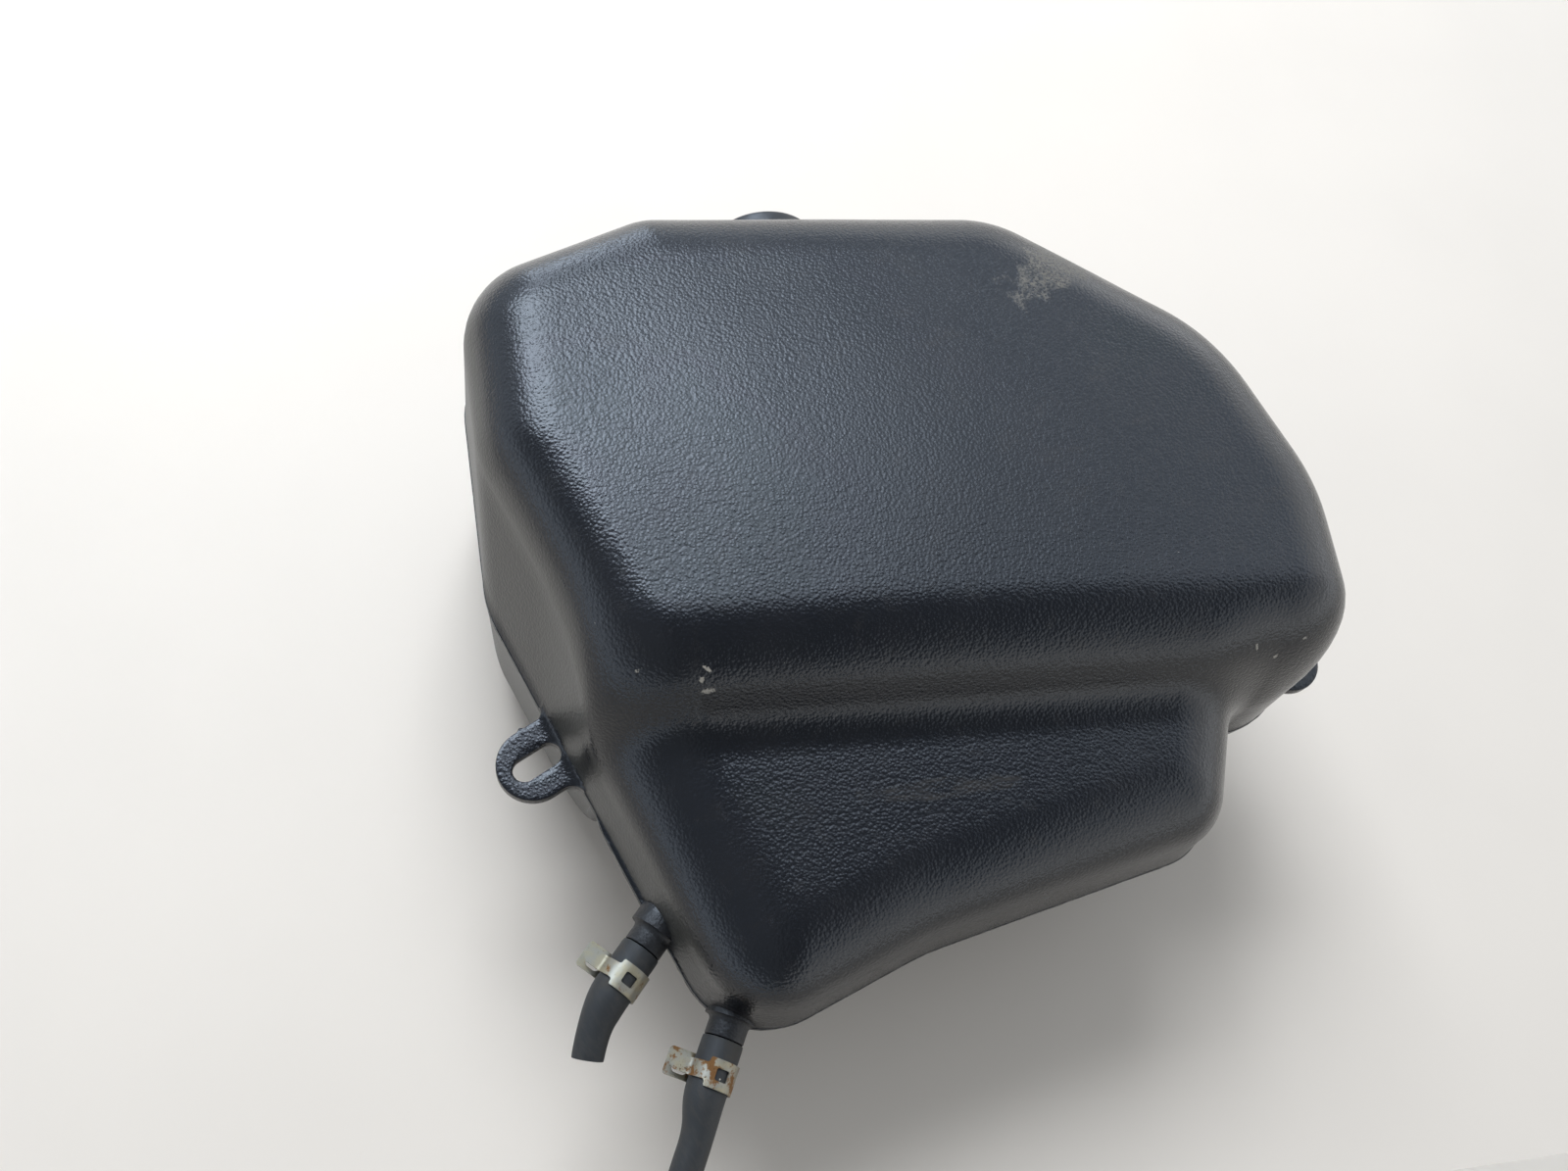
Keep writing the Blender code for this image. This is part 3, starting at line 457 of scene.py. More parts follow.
def ear_mesh(name, side, ear):
    """One half of a mounting ear, which thickens in a hollow curve towards the tank."""
    way = direction(ear.way)
    middle = np.array(ear.middle) * MM
    across = np.array((-way.y, way.x))

    def to_seam(at):
        return middle + at[:, :1] * np.array(way) + at[:, 1:] * across

    wall = rounded_outline(-FLANGE_WIDTH)
    outline = ear_outline(ear, to_seam, wall)
    slot = np.vstack(
        [arc((ear.reach, 0), SLOT_RADIUS, -90, 90, 18),
         arc((-ear.reach, 0), SLOT_RADIUS, 90, 270, 18)]
    )
    spots = [moved_in(outline, EAR_ROUND * share) for share in EASES]
    spots += [moved_in(slot, -EAR_ROUND * share) for share in EASES]
    field = grid(outline.min(0), outline.max(0), EAR_STEP)
    clear = np.minimum(distance_to(field, outline), distance_to(field, slot)) > 2 * EAR_ROUND
    spots.append(field[clear & inside(field, outline) & ~inside(field, slot)])
    points, triangles = triangulated([outline, slot], np.vstack(spots))
    seam_points = to_seam(points)
    foot = rounded_outline(ear.inset)
    out = np.where(inside(seam_points, foot), 0, distance_to(seam_points, foot))
    hollow = np.clip(1 - out / EAR_BLEND_WIDTH, 0, 1)
    height = EAR_HALF_THICKNESS + EAR_BLEND_HEIGHT * (1 - np.sqrt(1 - hollow**2))
    edge = np.minimum(distance_to(points, outline), distance_to(points, slot))
    bevel = np.clip(1 - edge / EAR_ROUND, 0, 1)
    height -= EAR_ROUND * (1 - np.sqrt(1 - bevel**2))
    top = [(x, SEAM_Y + side.sign * h, z) for (x, z), h in zip(seam_points, height)]
    bottom = [(x, SEAM_Y + side.sign * EAR_FLAT, z) for x, z in seam_points]
    faces, count = triangles.tolist(), len(points)
    faces += [[i + count for i in face] for face in triangles.tolist()]
    first = 0
    for loop in (outline, slot):
        size = len(loop)
        for i in range(size):
            a, b = first + i, first + (i + 1) % size
            faces.append((a, b, b + count, a + count))
        first += size
    return mesh_object(name, top + bottom, faces)


def half_round(name, side, spot, way, profile):
    """Half a round stub on one side of the seam, from (distance along way, radius) stations."""
    axis = Vector((way.x, 0, way.y))
    across = axis.cross(Vector((0, side.sign, 0)))
    origin = Vector((spot[0], SEAM_Y, spot[1]))
    turns = np.linspace(0, math.pi, HALF_ROUND_STEPS + 1)
    rings = []
    for along, radius in profile:
        rings.append(
            [
                origin + axis * along + across * (radius * math.cos(t))
                + Vector((0, side.sign, 0)) * (STUB_FLAT + radius * math.sin(t))
                for t in turns
            ]
        )
    count = len(rings[0])
    faces = lofted(rings)
    faces += [tuple(range(count)), tuple((len(rings) - 1) * count + i for i in range(count))]
    return mesh_object(name, [v for points in rings for v in points], faces)


def flared(start, end, radius, flare):
    """Stations of a stub whose root opens in a hollow curve of the radius flare."""
    stations = [(start, radius + flare)]
    for turn in np.radians(np.linspace(0, 90, 7)):
        stations.append((flare * (1 - math.cos(turn)), radius + flare * (1 - math.sin(turn))))
    return stations + [(end - short * MM, radius - small * MM) for short, small in STUB_RIM]


def drill(name, spot, way, radius, start, end):
    """A round cutter along way."""
    bm = bmesh.new()
    bmesh.ops.create_cone(
        bm, cap_ends=True, segments=DRILL_SIDES, radius1=radius, radius2=radius, depth=end - start
    )
    axis = Vector((way.x, 0, way.y))
    origin = Vector((spot[0], SEAM_Y, spot[1])) + axis * (start + end) / 2
    turned_to = axis.to_track_quat("Z", "Y").to_matrix().to_4x4()
    bmesh.ops.transform(bm, matrix=Matrix.Translation(origin) @ turned_to, verts=bm.verts)
    return linked_mesh(name, bm)


def combine(obj, others, operation):
    """A Boolean with several meshes at once, which are then removed."""
    bm = bmesh.new()
    for other in others:
        bm.from_mesh(other.data)
        bpy.data.objects.remove(other)
    tool = linked_mesh("tool", bm)
    boolean = obj.modifiers.new("boolean", "BOOLEAN")
    boolean.operation, boolean.solver, boolean.object = operation, "MANIFOLD", tool
    settle(obj)
    bpy.data.objects.remove(tool)


def settle(obj, smooth_angle=SMOOTH_ANGLE):
    """Makes an object's modifiers part of its mesh."""
    bpy.context.view_layer.update()
    evaluated = obj.evaluated_get(bpy.context.evaluated_depsgraph_get())
    mesh = bpy.data.meshes.new_from_object(evaluated)
    obj.modifiers.clear()
    obj.data = mesh
    shade(mesh, smooth_angle)


def build_shell(name, side):
    shell = shell_body(name, side)
    up = Vector((0, 1))
    filler = (FILLER_X, 0)
    boss = [(TOP_Z + along, radius) for along, radius in flared(
        -STUB_SINK, BOSS_TOP - TOP_Z, BOSS_RADIUS, STUB_FLARE)]
    adds = [ear_mesh("left_ear", side, LEFT_EAR), ear_mesh("right_ear", side, RIGHT_EAR)]
    adds.append(half_round("boss", side, filler, up, boss))
    holes = [drill("hole", filler, up, NECK_RADIUS + GAP, HOLE_LOW, HOLE_HIGH)]
    stub = flared(-STUB_SINK, STUB_END, STUB_RADIUS, STUB_FLARE)
    for outlet in (SIDE_OUTLET, BOTTOM_OUTLET):
        spot = (outlet.root[0] * MM, outlet.root[1] * MM)
        way = direction(outlet.way)
        adds.append(half_round("stub", side, spot, way, stub))
        holes.append(drill("bore", spot, way, SPIGOT_HOLE, -BORE_REACH, BORE_REACH))
    combine(shell, adds, "UNION")
    combine(shell, holes, "DIFFERENCE")
    return shell


def turned_mesh(name, profile, around, ripple):
    """A solid of revolution about the filler's axis; ripple(angle, radius, height) adds radius."""
    rings = []
    for i in range(around):
        angle = 2 * math.pi * i / around
        widths = [radius + ripple(angle, radius, height) for radius, height in profile]
        rings.append(
            [
                (FILLER_X + width * math.cos(angle), SEAM_Y + width * math.sin(angle), height)
                for width, (_, height) in zip(widths, profile)
            ]
        )
    count = len(profile)
    faces = [
        (i * count + k, i * count + (k + 1) % count,
         (i + 1) % around * count + (k + 1) % count, (i + 1) % around * count + k)
        for i in range(around)
        for k in range(count)
    ]
    return mesh_object(name, [v for points in rings for v in points], faces)


def cap_ripple(angle, radius, height):
    """Rounded ribs on the skirt, which run out below the cap's smooth rim."""
    if radius < CAP_RADIUS - 0.1 * MM:
        return 0
    share = min(max((RIB_HIGH - height) / MM, 0), 1) * min(max((height - RIB_LOW) / MM, 0), 1)
    return RIB_HEIGHT * share * max(0, math.cos(CAP_RIBS * angle)) ** RIB_SHAPE


def build_cap():
    inner = VENT_BORE + VENT_WALL
    rim = [(CAP_RADIUS - CAP_ROUND * (1 - math.sin(t)), CAP_TOP - CAP_ROUND * (1 - math.cos(t)))
           for t in np.radians(np.linspace(0, 90, 8))]
    skirt = [(CAP_RADIUS, z * MM) for z in np.linspace(SKIRT_HIGH, SKIRT_LOW, SKIRT_RINGS)]
    profile = [(CAP_VENT, CAP_TOP - CAP_DISH[0][1] * MM)]
    profile += [(radius * MM, CAP_TOP - depth * MM) for radius, depth in CAP_DISH] + rim + skirt
    profile += [(CAP_RADIUS - CAP_EDGE, CAP_SKIRT + CAP_EDGE), (CAP_RADIUS - 0.5 * MM, CAP_SKIRT)]
    profile += [(CAP_BORE, CAP_SKIRT), (CAP_BORE, CAP_CEILING), (inner, CAP_CEILING)]
    profile += [(inner, VENT_FLOOR), (VENT_BORE, VENT_FLOOR), (VENT_BORE, CAP_CEILING)]
    profile += [(CAP_VENT, CAP_CEILING)]
    return turned_mesh("cap_shell", profile, CAP_AROUND, cap_ripple)


def hose_line(outlet):
    """Stations (x, y, z, radius) of a smooth curve led by the hose's bends."""
    out = outward(outlet)
    root = Vector((outlet.root[0] * MM, SEAM_Y, outlet.root[1] * MM))
    leads = [(*(root + out * at * MM), HOSE_FITTED) for at in HOSE_FITTED_AT]
    leads += [(x * MM, SEAM_Y + y * MM, z * MM, HOSE_RELAXED) for x, z, y in outlet.bend]
    leads = np.array(leads)
    starts = [leads[0]] + [(a + b) / 2 for a, b in zip(leads[1:-2], leads[2:-1])]
    ends = starts[1:] + [leads[-1]]
    line = []
    for start, lead, end in zip(starts, leads[1:-1], ends):
        steps = max(4, round(np.linalg.norm(end[:3] - start[:3]) / HOSE_STEP))
        for t in np.arange(steps) / steps:
            line.append((1 - t) ** 2 * start + 2 * t * (1 - t) * lead + t * t * end)
    return np.array(line + [leads[-1]])


def build_hose(outlet):
    """A rubber tube: round where it is pushed on, and a little flat at its cut end."""
    line = hose_line(outlet)
    spots, radii = line[:, :3], line[:, 3]
    ways = np.gradient(spots, axis=0)
    ways /= np.linalg.norm(ways, axis=1)[:, None]
    side = np.array((0.0, 1.0, 0.0))
    share = np.linspace(0, 1, len(line)) ** 3
    around = HOSE_AROUND
    turns = 2 * np.pi * np.arange(around) / around

    def tube(radius, at, push=0.0):
        across = np.cross(side, ways[at])
        across /= np.linalg.norm(across)
        deep = np.cross(ways[at], across)
        flat = 1 + (outlet.flat - 1) * share[at]
        centre = spots[at] + ways[at] * push
        rough = [
            1 - HOSE_WOBBLE * abs(noise.noise(Vector((math.cos(t) * 2, math.sin(t) * 2, at / 9))))
            for t in turns
        ]
        return [
            centre + radius * r * (across * math.cos(t) + deep * flat * math.sin(t))
            for t, r in zip(turns, rough)
        ]

    last = len(line) - 1
    rim, edge = FITTED_RIM
    rings = [tube(radii[0] - rim, 0), tube(radii[0] - edge, 0, edge)]
    rings += [tube(radii[at], at) for at in range(1, last)]
    rim, edge = CUT_RIM
    rings += [tube(radii[last] - edge, last, -edge), tube(radii[last] - rim, last)]
    rings += [tube(radii[at] - HOSE_WALL, at) for at in range(last, -1, -1)]
    count = len(rings)
    vertices = [v for points in rings for v in points]
    faces = lofted(rings)
    faces += [
        ((count - 1) * around + (i - 1) % around, (count - 1) * around + i, i, (i - 1) % around)
        for i in range(around)
    ]
    return mesh_object(f"{outlet.name}_hose_tube", vertices, faces)


def band_path():
    """Points, in the plane across the hose, along the sheet from the front tang to the rear one.

    x runs to the left of the outlet and y to the back. The tangs leave the ring in small bends.
    """
    middle = HOSE_FITTED + GAP + CLAMP_SHEET / 2
    offset = CLAMP_GAP + CLAMP_SHEET / 2
    lift = math.asin((offset + CLAMP_BEND) / (middle + CLAMP_BEND))
    centre = ((middle + CLAMP_BEND) * math.cos(lift), -(offset + CLAMP_BEND))
    turn = math.degrees(lift)
    tang = np.linspace(CLAMP_REACH, centre[0], 40)[:-1]
    front = np.column_stack([tang, np.full(len(tang), -offset)])
    bend = arc(centre, CLAMP_BEND, 90, 180 - turn, 16)[:-1]
    loop = arc((0, 0), middle, -turn, turn - 360, 200)
    half = np.vstack([front, bend])
    path = np.vstack([half, loop, (half * (1, -1))[::-1]])
    lengths = np.concatenate([[0], np.cumsum(np.linalg.norm(np.diff(path, axis=0), axis=1))])
    return path, lengths


def round_box(low, high, radius, start_at=0.0):
    """A rounded window in the sheet, its corners and radius in mm from start_at."""
    low, high = (np.array(corner) * MM + (start_at, 0) for corner in (low, high))
    radius *= MM
    corners = [(high[0], low[1], -90), (high[0], high[1], 0), (low[0], high[1], 90),
               (low[0], low[1], 180)]
    points = []
    for x, y, start in corners:
        centre = (x - math.copysign(radius, x - (low[0] + high[0]) / 2),
                  y - math.copysign(radius, y - (low[1] + high[1]) / 2))
        points.append(arc(centre, radius, start, start + 90, 5))
    return np.vstack(points)


def band_blank(length):
    """The flat sheet before it is bent: a tongue, shoulders, a long band and a square rear tang."""
    half, tongue, shoulder = CLAMP_WIDTH / 2, TONGUE_HALF, SHOULDER_AT
    end = length - 0.01 * MM
    lower = np.vstack([
        arc((TONGUE_AT + tongue, 0), tongue, 180, 270, 8),
        [(s * MM, -tongue) for s in np.arange(5, 13, 1.0)],
        arc((shoulder - SHOULDER_ROUND, -tongue - SHOULDER_ROUND), SHOULDER_ROUND, 90, 0, 4),
        [(shoulder, -half + 0.5 * MM), (shoulder + 0.3 * MM, -half)],
        [(s, -half) for s in np.arange(shoulder + 1.2 * MM, end - 2 * MM, 1 * MM)],
        arc((end - TANG_ROUND, -half + TANG_ROUND), TANG_ROUND, 270, 360, 5),
    ])
    outline = np.vstack([lower, (lower * (1, -1))[::-1]])
    _, keep = np.unique(np.round(outline / (0.001 * MM)).astype(int), axis=0, return_index=True)
    return outline[np.sort(keep)]


def build_clamp(outlet):
    """A spring band bent from one flat sheet, with a window in front and one in the rear tang."""
    path, lengths = band_path()
    length = lengths[-1]
    outline = band_blank(length)
    windows = [round_box(*FRONT_WINDOW), round_box(*REAR_WINDOW, length)]
    spots = grid(outline.min(0), outline.max(0), CLAMP_STEP)
    loops = [outline] + windows
    clear = np.min([distance_to(spots, loop) for loop in loops], axis=0) > CLAMP_STEP / 2
    keep = clear & inside(spots, outline) & ~inside(spots, windows[0]) & ~inside(spots, windows[1])
    points, triangles = triangulated(loops, spots[keep])
    out = outward(outlet)
    left = Vector((0, 1, 0)).cross(out)
    origin = Vector((outlet.root[0] * MM, SEAM_Y, outlet.root[1] * MM)) + out * CLAMP_AT
    xs, ys = (np.interp(points[:, 0], lengths, path[:, i]) for i in (0, 1))
    vertices = [
        origin + left * x + Vector((0, 1, 0)) * y + out * w
        for x, y, w in zip(xs, ys, points[:, 1])
    ]
    obj = sheet_object(f"{outlet.name}_clamp_band", vertices, triangles)
    solid = obj.modifiers.new("sheet", "SOLIDIFY")
    solid.thickness, solid.offset, solid.use_even_offset = CLAMP_SHEET, 0, True
    settle(obj, SHEET_SMOOTH_ANGLE)
    return obj


# Materials -----------------------------------------------------------------------------------


class Nodes:
    """Makes and links shader nodes; a value is a number, a colour or another node's output."""

    def __init__(self, tree):
        self.tree = tree

    def feed(self, socket, value):
        if isinstance(value, bpy.types.NodeSocket):
            self.tree.links.new(value, socket)
        else:
            socket.default_value = value

    def node(self, kind, inputs=(), **settings):
        made = self.tree.nodes.new(kind)
        for key, value in settings.items():
            setattr(made, key, value)
        for key, value in dict(inputs).items():
            self.feed(made.inputs[key], value)
        return made

    def math(self, operation, a, b=0.0):
        return self.node("ShaderNodeMath", {0: a, 1: b}, operation=operation).outputs[0]

    def vector_math(self, operation, a, b):
        return self.node("ShaderNodeVectorMath", {0: a, 1: b}, operation=operation).outputs[0]

    def product(self, *values):
        return reduce(partial(self.math, "MULTIPLY"), values)

    def total(self, *values):
        return reduce(partial(self.math, "ADD"), values)

    def ramp(self, value, low, high, amount=1.0):
        """0 before low and amount past high, smoothly between; high may be the lower one."""
        ends = {"Value": value, "From Min": low, "From Max": high, "To Max": amount}
        made = self.node("ShaderNodeMapRange", ends, interpolation_type="SMOOTHSTEP")
        return made.outputs["Result"]

    def mix(self, share, a, b):
        made = self.node("ShaderNodeMix", {0: share, 2: a, 3: b}, data_type="FLOAT")
        return made.outputs[0]

    def mix_colours(self, share, a, b):
        made = self.node("ShaderNodeMix", {0: share, 6: a, 7: b}, data_type="RGBA")
        return made.outputs[2]


class Look(Nodes):
    """A material whose colour, roughness and bump are built up from procedural nodes."""

    def __init__(self, name, colour, roughness, metallic=0.0):
        self.material = bpy.data.materials.new(name)
        self.material.use_nodes = True
        super().__init__(self.material.node_tree)
        self.shader = self.tree.nodes["Principled BSDF"]
        self.shader.inputs["Metallic"].default_value = metallic
        self.colour = (*colour, 1)
        self.roughness = roughness
        self.height = 0.0
        self.spot = self.node("ShaderNodeTexCoord").outputs["Object"]

    def moved(self, centre=(0, 0, 0), scale=(1, 1, 1), turn=0.0):
        """Object coordinates about a centre, turned in the XZ plane and scaled."""
        shifted = self.vector_math("ADD", self.spot, [-c * MM for c in centre])
        turned = self.node("ShaderNodeVectorRotate", {"Vector": shifted, "Angle": turn},
                           rotation_type="Y_AXIS").outputs[0]
        return self.vector_math("MULTIPLY", turned, scale)

    def noise(self, size, detail=2.0, rough=0.5, vector=None):
        """Cloudy noise from 0 to 1, with features of this size in mm."""
        made = self.node("ShaderNodeTexNoise", {
            "Vector": vector or self.spot, "Scale": 1 / (size * MM), "Detail": detail,
            "Roughness": rough})
        return made.outputs["Fac"]

    def blob(self, centre, half, turn=0.0, rough=0.5, grain=4.0):
        """A ragged patch: 1 near the centre and 0 outside, with half sizes in mm."""
        at = self.moved(centre, [1 / (h * MM) for h in half], turn)
        far = self.node("ShaderNodeVectorMath", {0: at}, operation="LENGTH").outputs["Value"]
        wobble = self.product(self.math("SUBTRACT", self.noise(grain, 4), 0.5), rough * 3)
        return self.ramp(self.total(far, wobble), 1.0, 0.6)

    def specks(self, size, radius, share, seed=0.0):
        """Round specks: one cell in so many, share, holds a speck of this radius in mm."""
        shifted = self.vector_math("ADD", self.spot, (seed, seed, seed))
        cells = self.node("ShaderNodeTexVoronoi", {"Vector": shifted, "Scale": 1 / (size * MM)})
        pick = self.node("ShaderNodeSeparateColor", {0: cells.outputs["Color"]}).outputs[0]
        wide = self.product(self.math("GREATER_THAN", share, pick), radius / size)
        wide = self.product(wide, self.noise(size * 2.3, 1))
        return self.math("GREATER_THAN", wide, cells.outputs["Distance"])

    def paint(self, mask, colour, roughness=None):
        """Lays another colour, and maybe another roughness, over the look where mask is 1."""
        self.colour = self.mix_colours(mask, self.colour, (*colour, 1))
        if roughness is not None:
            self.roughness = self.mix(mask, self.roughness, roughness)

    def raise_by(self, value, depth):
        """Adds value times depth, in mm, to the surface's bump."""
        self.height = self.total(self.height, self.product(value, depth * MM))

    def finish(self, strength=1.0):
        bump = self.node("ShaderNodeBump", {"Strength": strength, "Distance": 1.0,
                                            "Height": self.height})
        for key, value in (("Base Color", self.colour), ("Roughness", self.roughness),
                           ("Normal", bump.outputs[0])):
            self.feed(self.shader.inputs[key], value)
        return self.material


def add_grain(look, size, depth):
    """Leather-like grain: rounded cells with fine noise over them."""
    cells = look.node("ShaderNodeTexVoronoi", {
        "Vector": look.spot, "Scale": 1 / (size * MM), "Smoothness": 0.6}, feature="SMOOTH_F1")
    look.raise_by(cells.outputs["Distance"], -depth)
    look.raise_by(look.noise(size * 0.45, 2), depth * 0.3)


def tank_look(name, front):
    look = Look(name, (0.0090, 0.0105, 0.0145), 0.21)
    look.paint(look.ramp(look.noise(34, 3), 0.35, 0.75), (0.011, 0.012, 0.0155), 0.25)
    look.paint(look.ramp(look.noise(7, 5, 0.65), 0.55, 0.75), (0.013, 0.0135, 0.016), 0.31)
    smear = look.noise(14, 5, 0.65, look.moved(scale=(0.6, 1, 1.3), turn=0.25))
    look.paint(look.ramp(smear, 0.56, 0.80), (0.0125, 0.012, 0.013), 0.30)
    # Painted reflection: where the wall faces left (normal X below about -0.8) its colour turns
    # paler grey, standing in for the pale sheet it mirrors at a glancing angle.
    normal = look.node("ShaderNodeTexCoord").outputs["Normal"]
    to_left = look.node("ShaderNodeSeparateXYZ", {0: normal}).outputs["X"]
    look.paint(look.ramp(to_left, -0.78, -0.92), (0.055, 0.056, 0.053), 0.4)
    add_grain(look, 1.0, 0.13)
    if front:
        add_marks(look)
    for outlet in (SIDE_OUTLET, BOTTOM_OUTLET):
        collar = look.blob((outlet.root[0], SEAM_Y / MM, outlet.root[1]), (13, 13, 13), 0, 0.1)
        look.paint(collar, (0.010, 0.010, 0.011), 0.55)
    look.paint(look.specks(7, 0.26, 0.16), (0.30, 0.30, 0.28), 0.8)
    look.paint(look.specks(15, 0.40, 0.10, 0.31), (0.36, 0.35, 0.32), 0.8)
    scratch = look.noise(1.2, 3, 0.6, look.moved(scale=(1, 1, 0.06), turn=0.5))
    look.paint(look.product(look.ramp(scratch, 0.70, 0.76), 0.12), (0.07, 0.07, 0.07))
    return look.finish()


def add_marks(look):
    """Wear on the front: an abraded shoulder, a brown scuff and white chips."""
    worn = look.blob((64, -148, 79), (36, 30, 14), 0.66, 0.45, 5)
    coarse = look.ramp(look.noise(0.9, 3, 0.7), 0.38, 0.66)
    look.paint(look.product(worn, coarse), (0.15, 0.145, 0.13), 0.7)
    look.raise_by(look.product(worn, look.noise(0.7, 4)), 0.15)
    scuff = look.blob((-6, -127, -102.5), (29, 8, 4.2), 0.03, 0.35, 9)
    streaks = look.ramp(look.noise(2.2, 4, 0.6, look.moved(scale=(0.16, 1, 1))), 0.35, 0.75)
    look.paint(look.product(scuff, streaks), (0.026, 0.022, 0.018), 0.42)
    for centre, half, turn in (
        ((-78.9, -149, -65.9), (1.5, 5, 0.5), -0.5),
        ((-78.7, -144, -71.0), (2.2, 4, 0.6), 0.1),
        ((-80.5, -147, -68.5), (0.8, 4, 0.8), 0.1),
        ((-99.5, -144, -64.2), (1.1, 4, 0.5), 0.4),
        ((103.8, -143, -68.2), (1.2, 3, 0.5), -0.9),
        ((121.9, -142, -66.2), (0.9, 3, 0.4), 0.2),
        ((113.1, -137, -70.0), (1.0, 3, 0.4), 0.3),
    ):
        chip = look.blob(centre, half, turn, 0.9, 0.7)
        broken = look.ramp(look.noise(0.6, 2), 0.28, 0.40)
        look.paint(look.product(chip, broken), (0.42, 0.41, 0.38), 0.7)


def plain_look(name, colour, second, roughness, grain, metallic=0.0):
    """A moulded or rubber part: two tones, grain, and a little dust."""
    look = Look(name, colour, roughness, metallic)
    look.paint(look.ramp(look.noise(6, 4), 0.4, 0.7), second, min(roughness + 0.12, 1))
    add_grain(look, grain, 0.03)
    look.paint(look.specks(5, 0.3, 0.1), (0.35, 0.34, 0.31), 0.85)
    return look.finish()


def hose_look(name):
    look = Look(name, (0.020, 0.022, 0.024), 0.62)
    streak = look.noise(1.6, 3, 0.6, look.moved(scale=(1, 1, 0.18), turn=0.5))
    look.paint(look.ramp(streak, 0.45, 0.7), (0.034, 0.034, 0.034), 0.72)
    look.paint(look.ramp(look.noise(9, 3), 0.5, 0.75), (0.045, 0.043, 0.039), 0.8)
    look.raise_by(streak, 0.10)
    add_grain(look, 0.8, 0.03)
    look.paint(look.specks(8, 0.7, 0.12), (0.45, 0.43, 0.38), 0.85)
    return look.finish()


def clamp_look(name, rust):
    look = Look(name, (0.27, 0.26, 0.22), 0.42, 0.6)
    look.paint(look.ramp(look.noise(4, 4), 0.40, 0.62), (0.31, 0.28, 0.20), 0.48)
    look.paint(look.ramp(look.noise(1.2, 4, 0.7), 0.60, 0.70), (0.20, 0.18, 0.13), 0.6)
    patches = look.ramp(look.noise(5, 5, 0.7), 0.72 - 0.3 * rust, 0.80 - 0.3 * rust)
    look.paint(patches, (0.24, 0.125, 0.05), 0.85)
    pits = look.ramp(look.noise(1.0, 5, 0.75), 0.70 - 0.12 * rust, 0.76 - 0.12 * rust)
    look.paint(pits, (0.13, 0.06, 0.022), 0.9)
    look.raise_by(pits, 0.05)
    look.raise_by(look.noise(0.5, 3), 0.02)
    return look.finish()


def dress(obj, material):
    obj.data.materials.clear()
    obj.data.materials.append(material)


def show(obj, body, node, material):
    """A new piece that stands for a node, gets this material and rides on its body."""
    dress(obj, material)
    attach(obj, body)
    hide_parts(node)


# Stage ---------------------------------------------------------------------------------------


def one_sided(name, size, matrix, colour, hide_from_behind):
    """A large pale sheet that only exists for what is in front of it."""
    mesh = bpy.data.meshes.new(name)
    half = size / 2
    corners = [(-half, -half, 0), (half, -half, 0), (half, half, 0), (-half, half, 0)]
    mesh.from_pydata([matrix @ Vector(c) for c in corners], [], [(0, 1, 2, 3)])
    obj = linked(name, mesh)
    look = Look(name, colour, 0.55)
    look.paint(look.ramp(look.noise(120, 3), 0.3, 0.8), [c * 0.97 for c in colour])
    look.raise_by(look.noise(3, 3), 0.02)
    dress(obj, look.finish(0.4))
    hidden = look.node("ShaderNodeNewGeometry").outputs["Backfacing"]
    if hide_from_behind:
        eye = look.node("ShaderNodeVectorTransform", {"Vector": (0, 0, 0)}, vector_type="POINT",
                        convert_from="CAMERA", convert_to="WORLD").outputs[0]
        depth = look.node("ShaderNodeSeparateXYZ", {0: eye}).outputs["Y"]
        hidden = look.math("MAXIMUM", hidden, look.math("GREATER_THAN", depth, 0))
    clear = look.node("ShaderNodeBsdfTransparent").outputs[0]
    mix = look.node("ShaderNodeMixShader", {0: hidden, 1: look.shader.outputs[0], 2: clear})
    output = look.tree.nodes["Material Output"]
    look.tree.links.new(mix.outputs[0], output.inputs["Surface"])
    return obj


def area_light(name, spot, target, size, power, glossy=True):
    data = bpy.data.lights.new(name, "AREA")
    data.shape, data.size, data.size_y, data.energy = "RECTANGLE", size[0], size[1], power
    obj = linked(name, data)
    obj.location = spot
    obj.rotation_euler = (Vector(target) - Vector(spot)).to_track_quat("-Z", "Y").to_euler()
    obj.visible_camera = False
    obj.visible_glossy = glossy


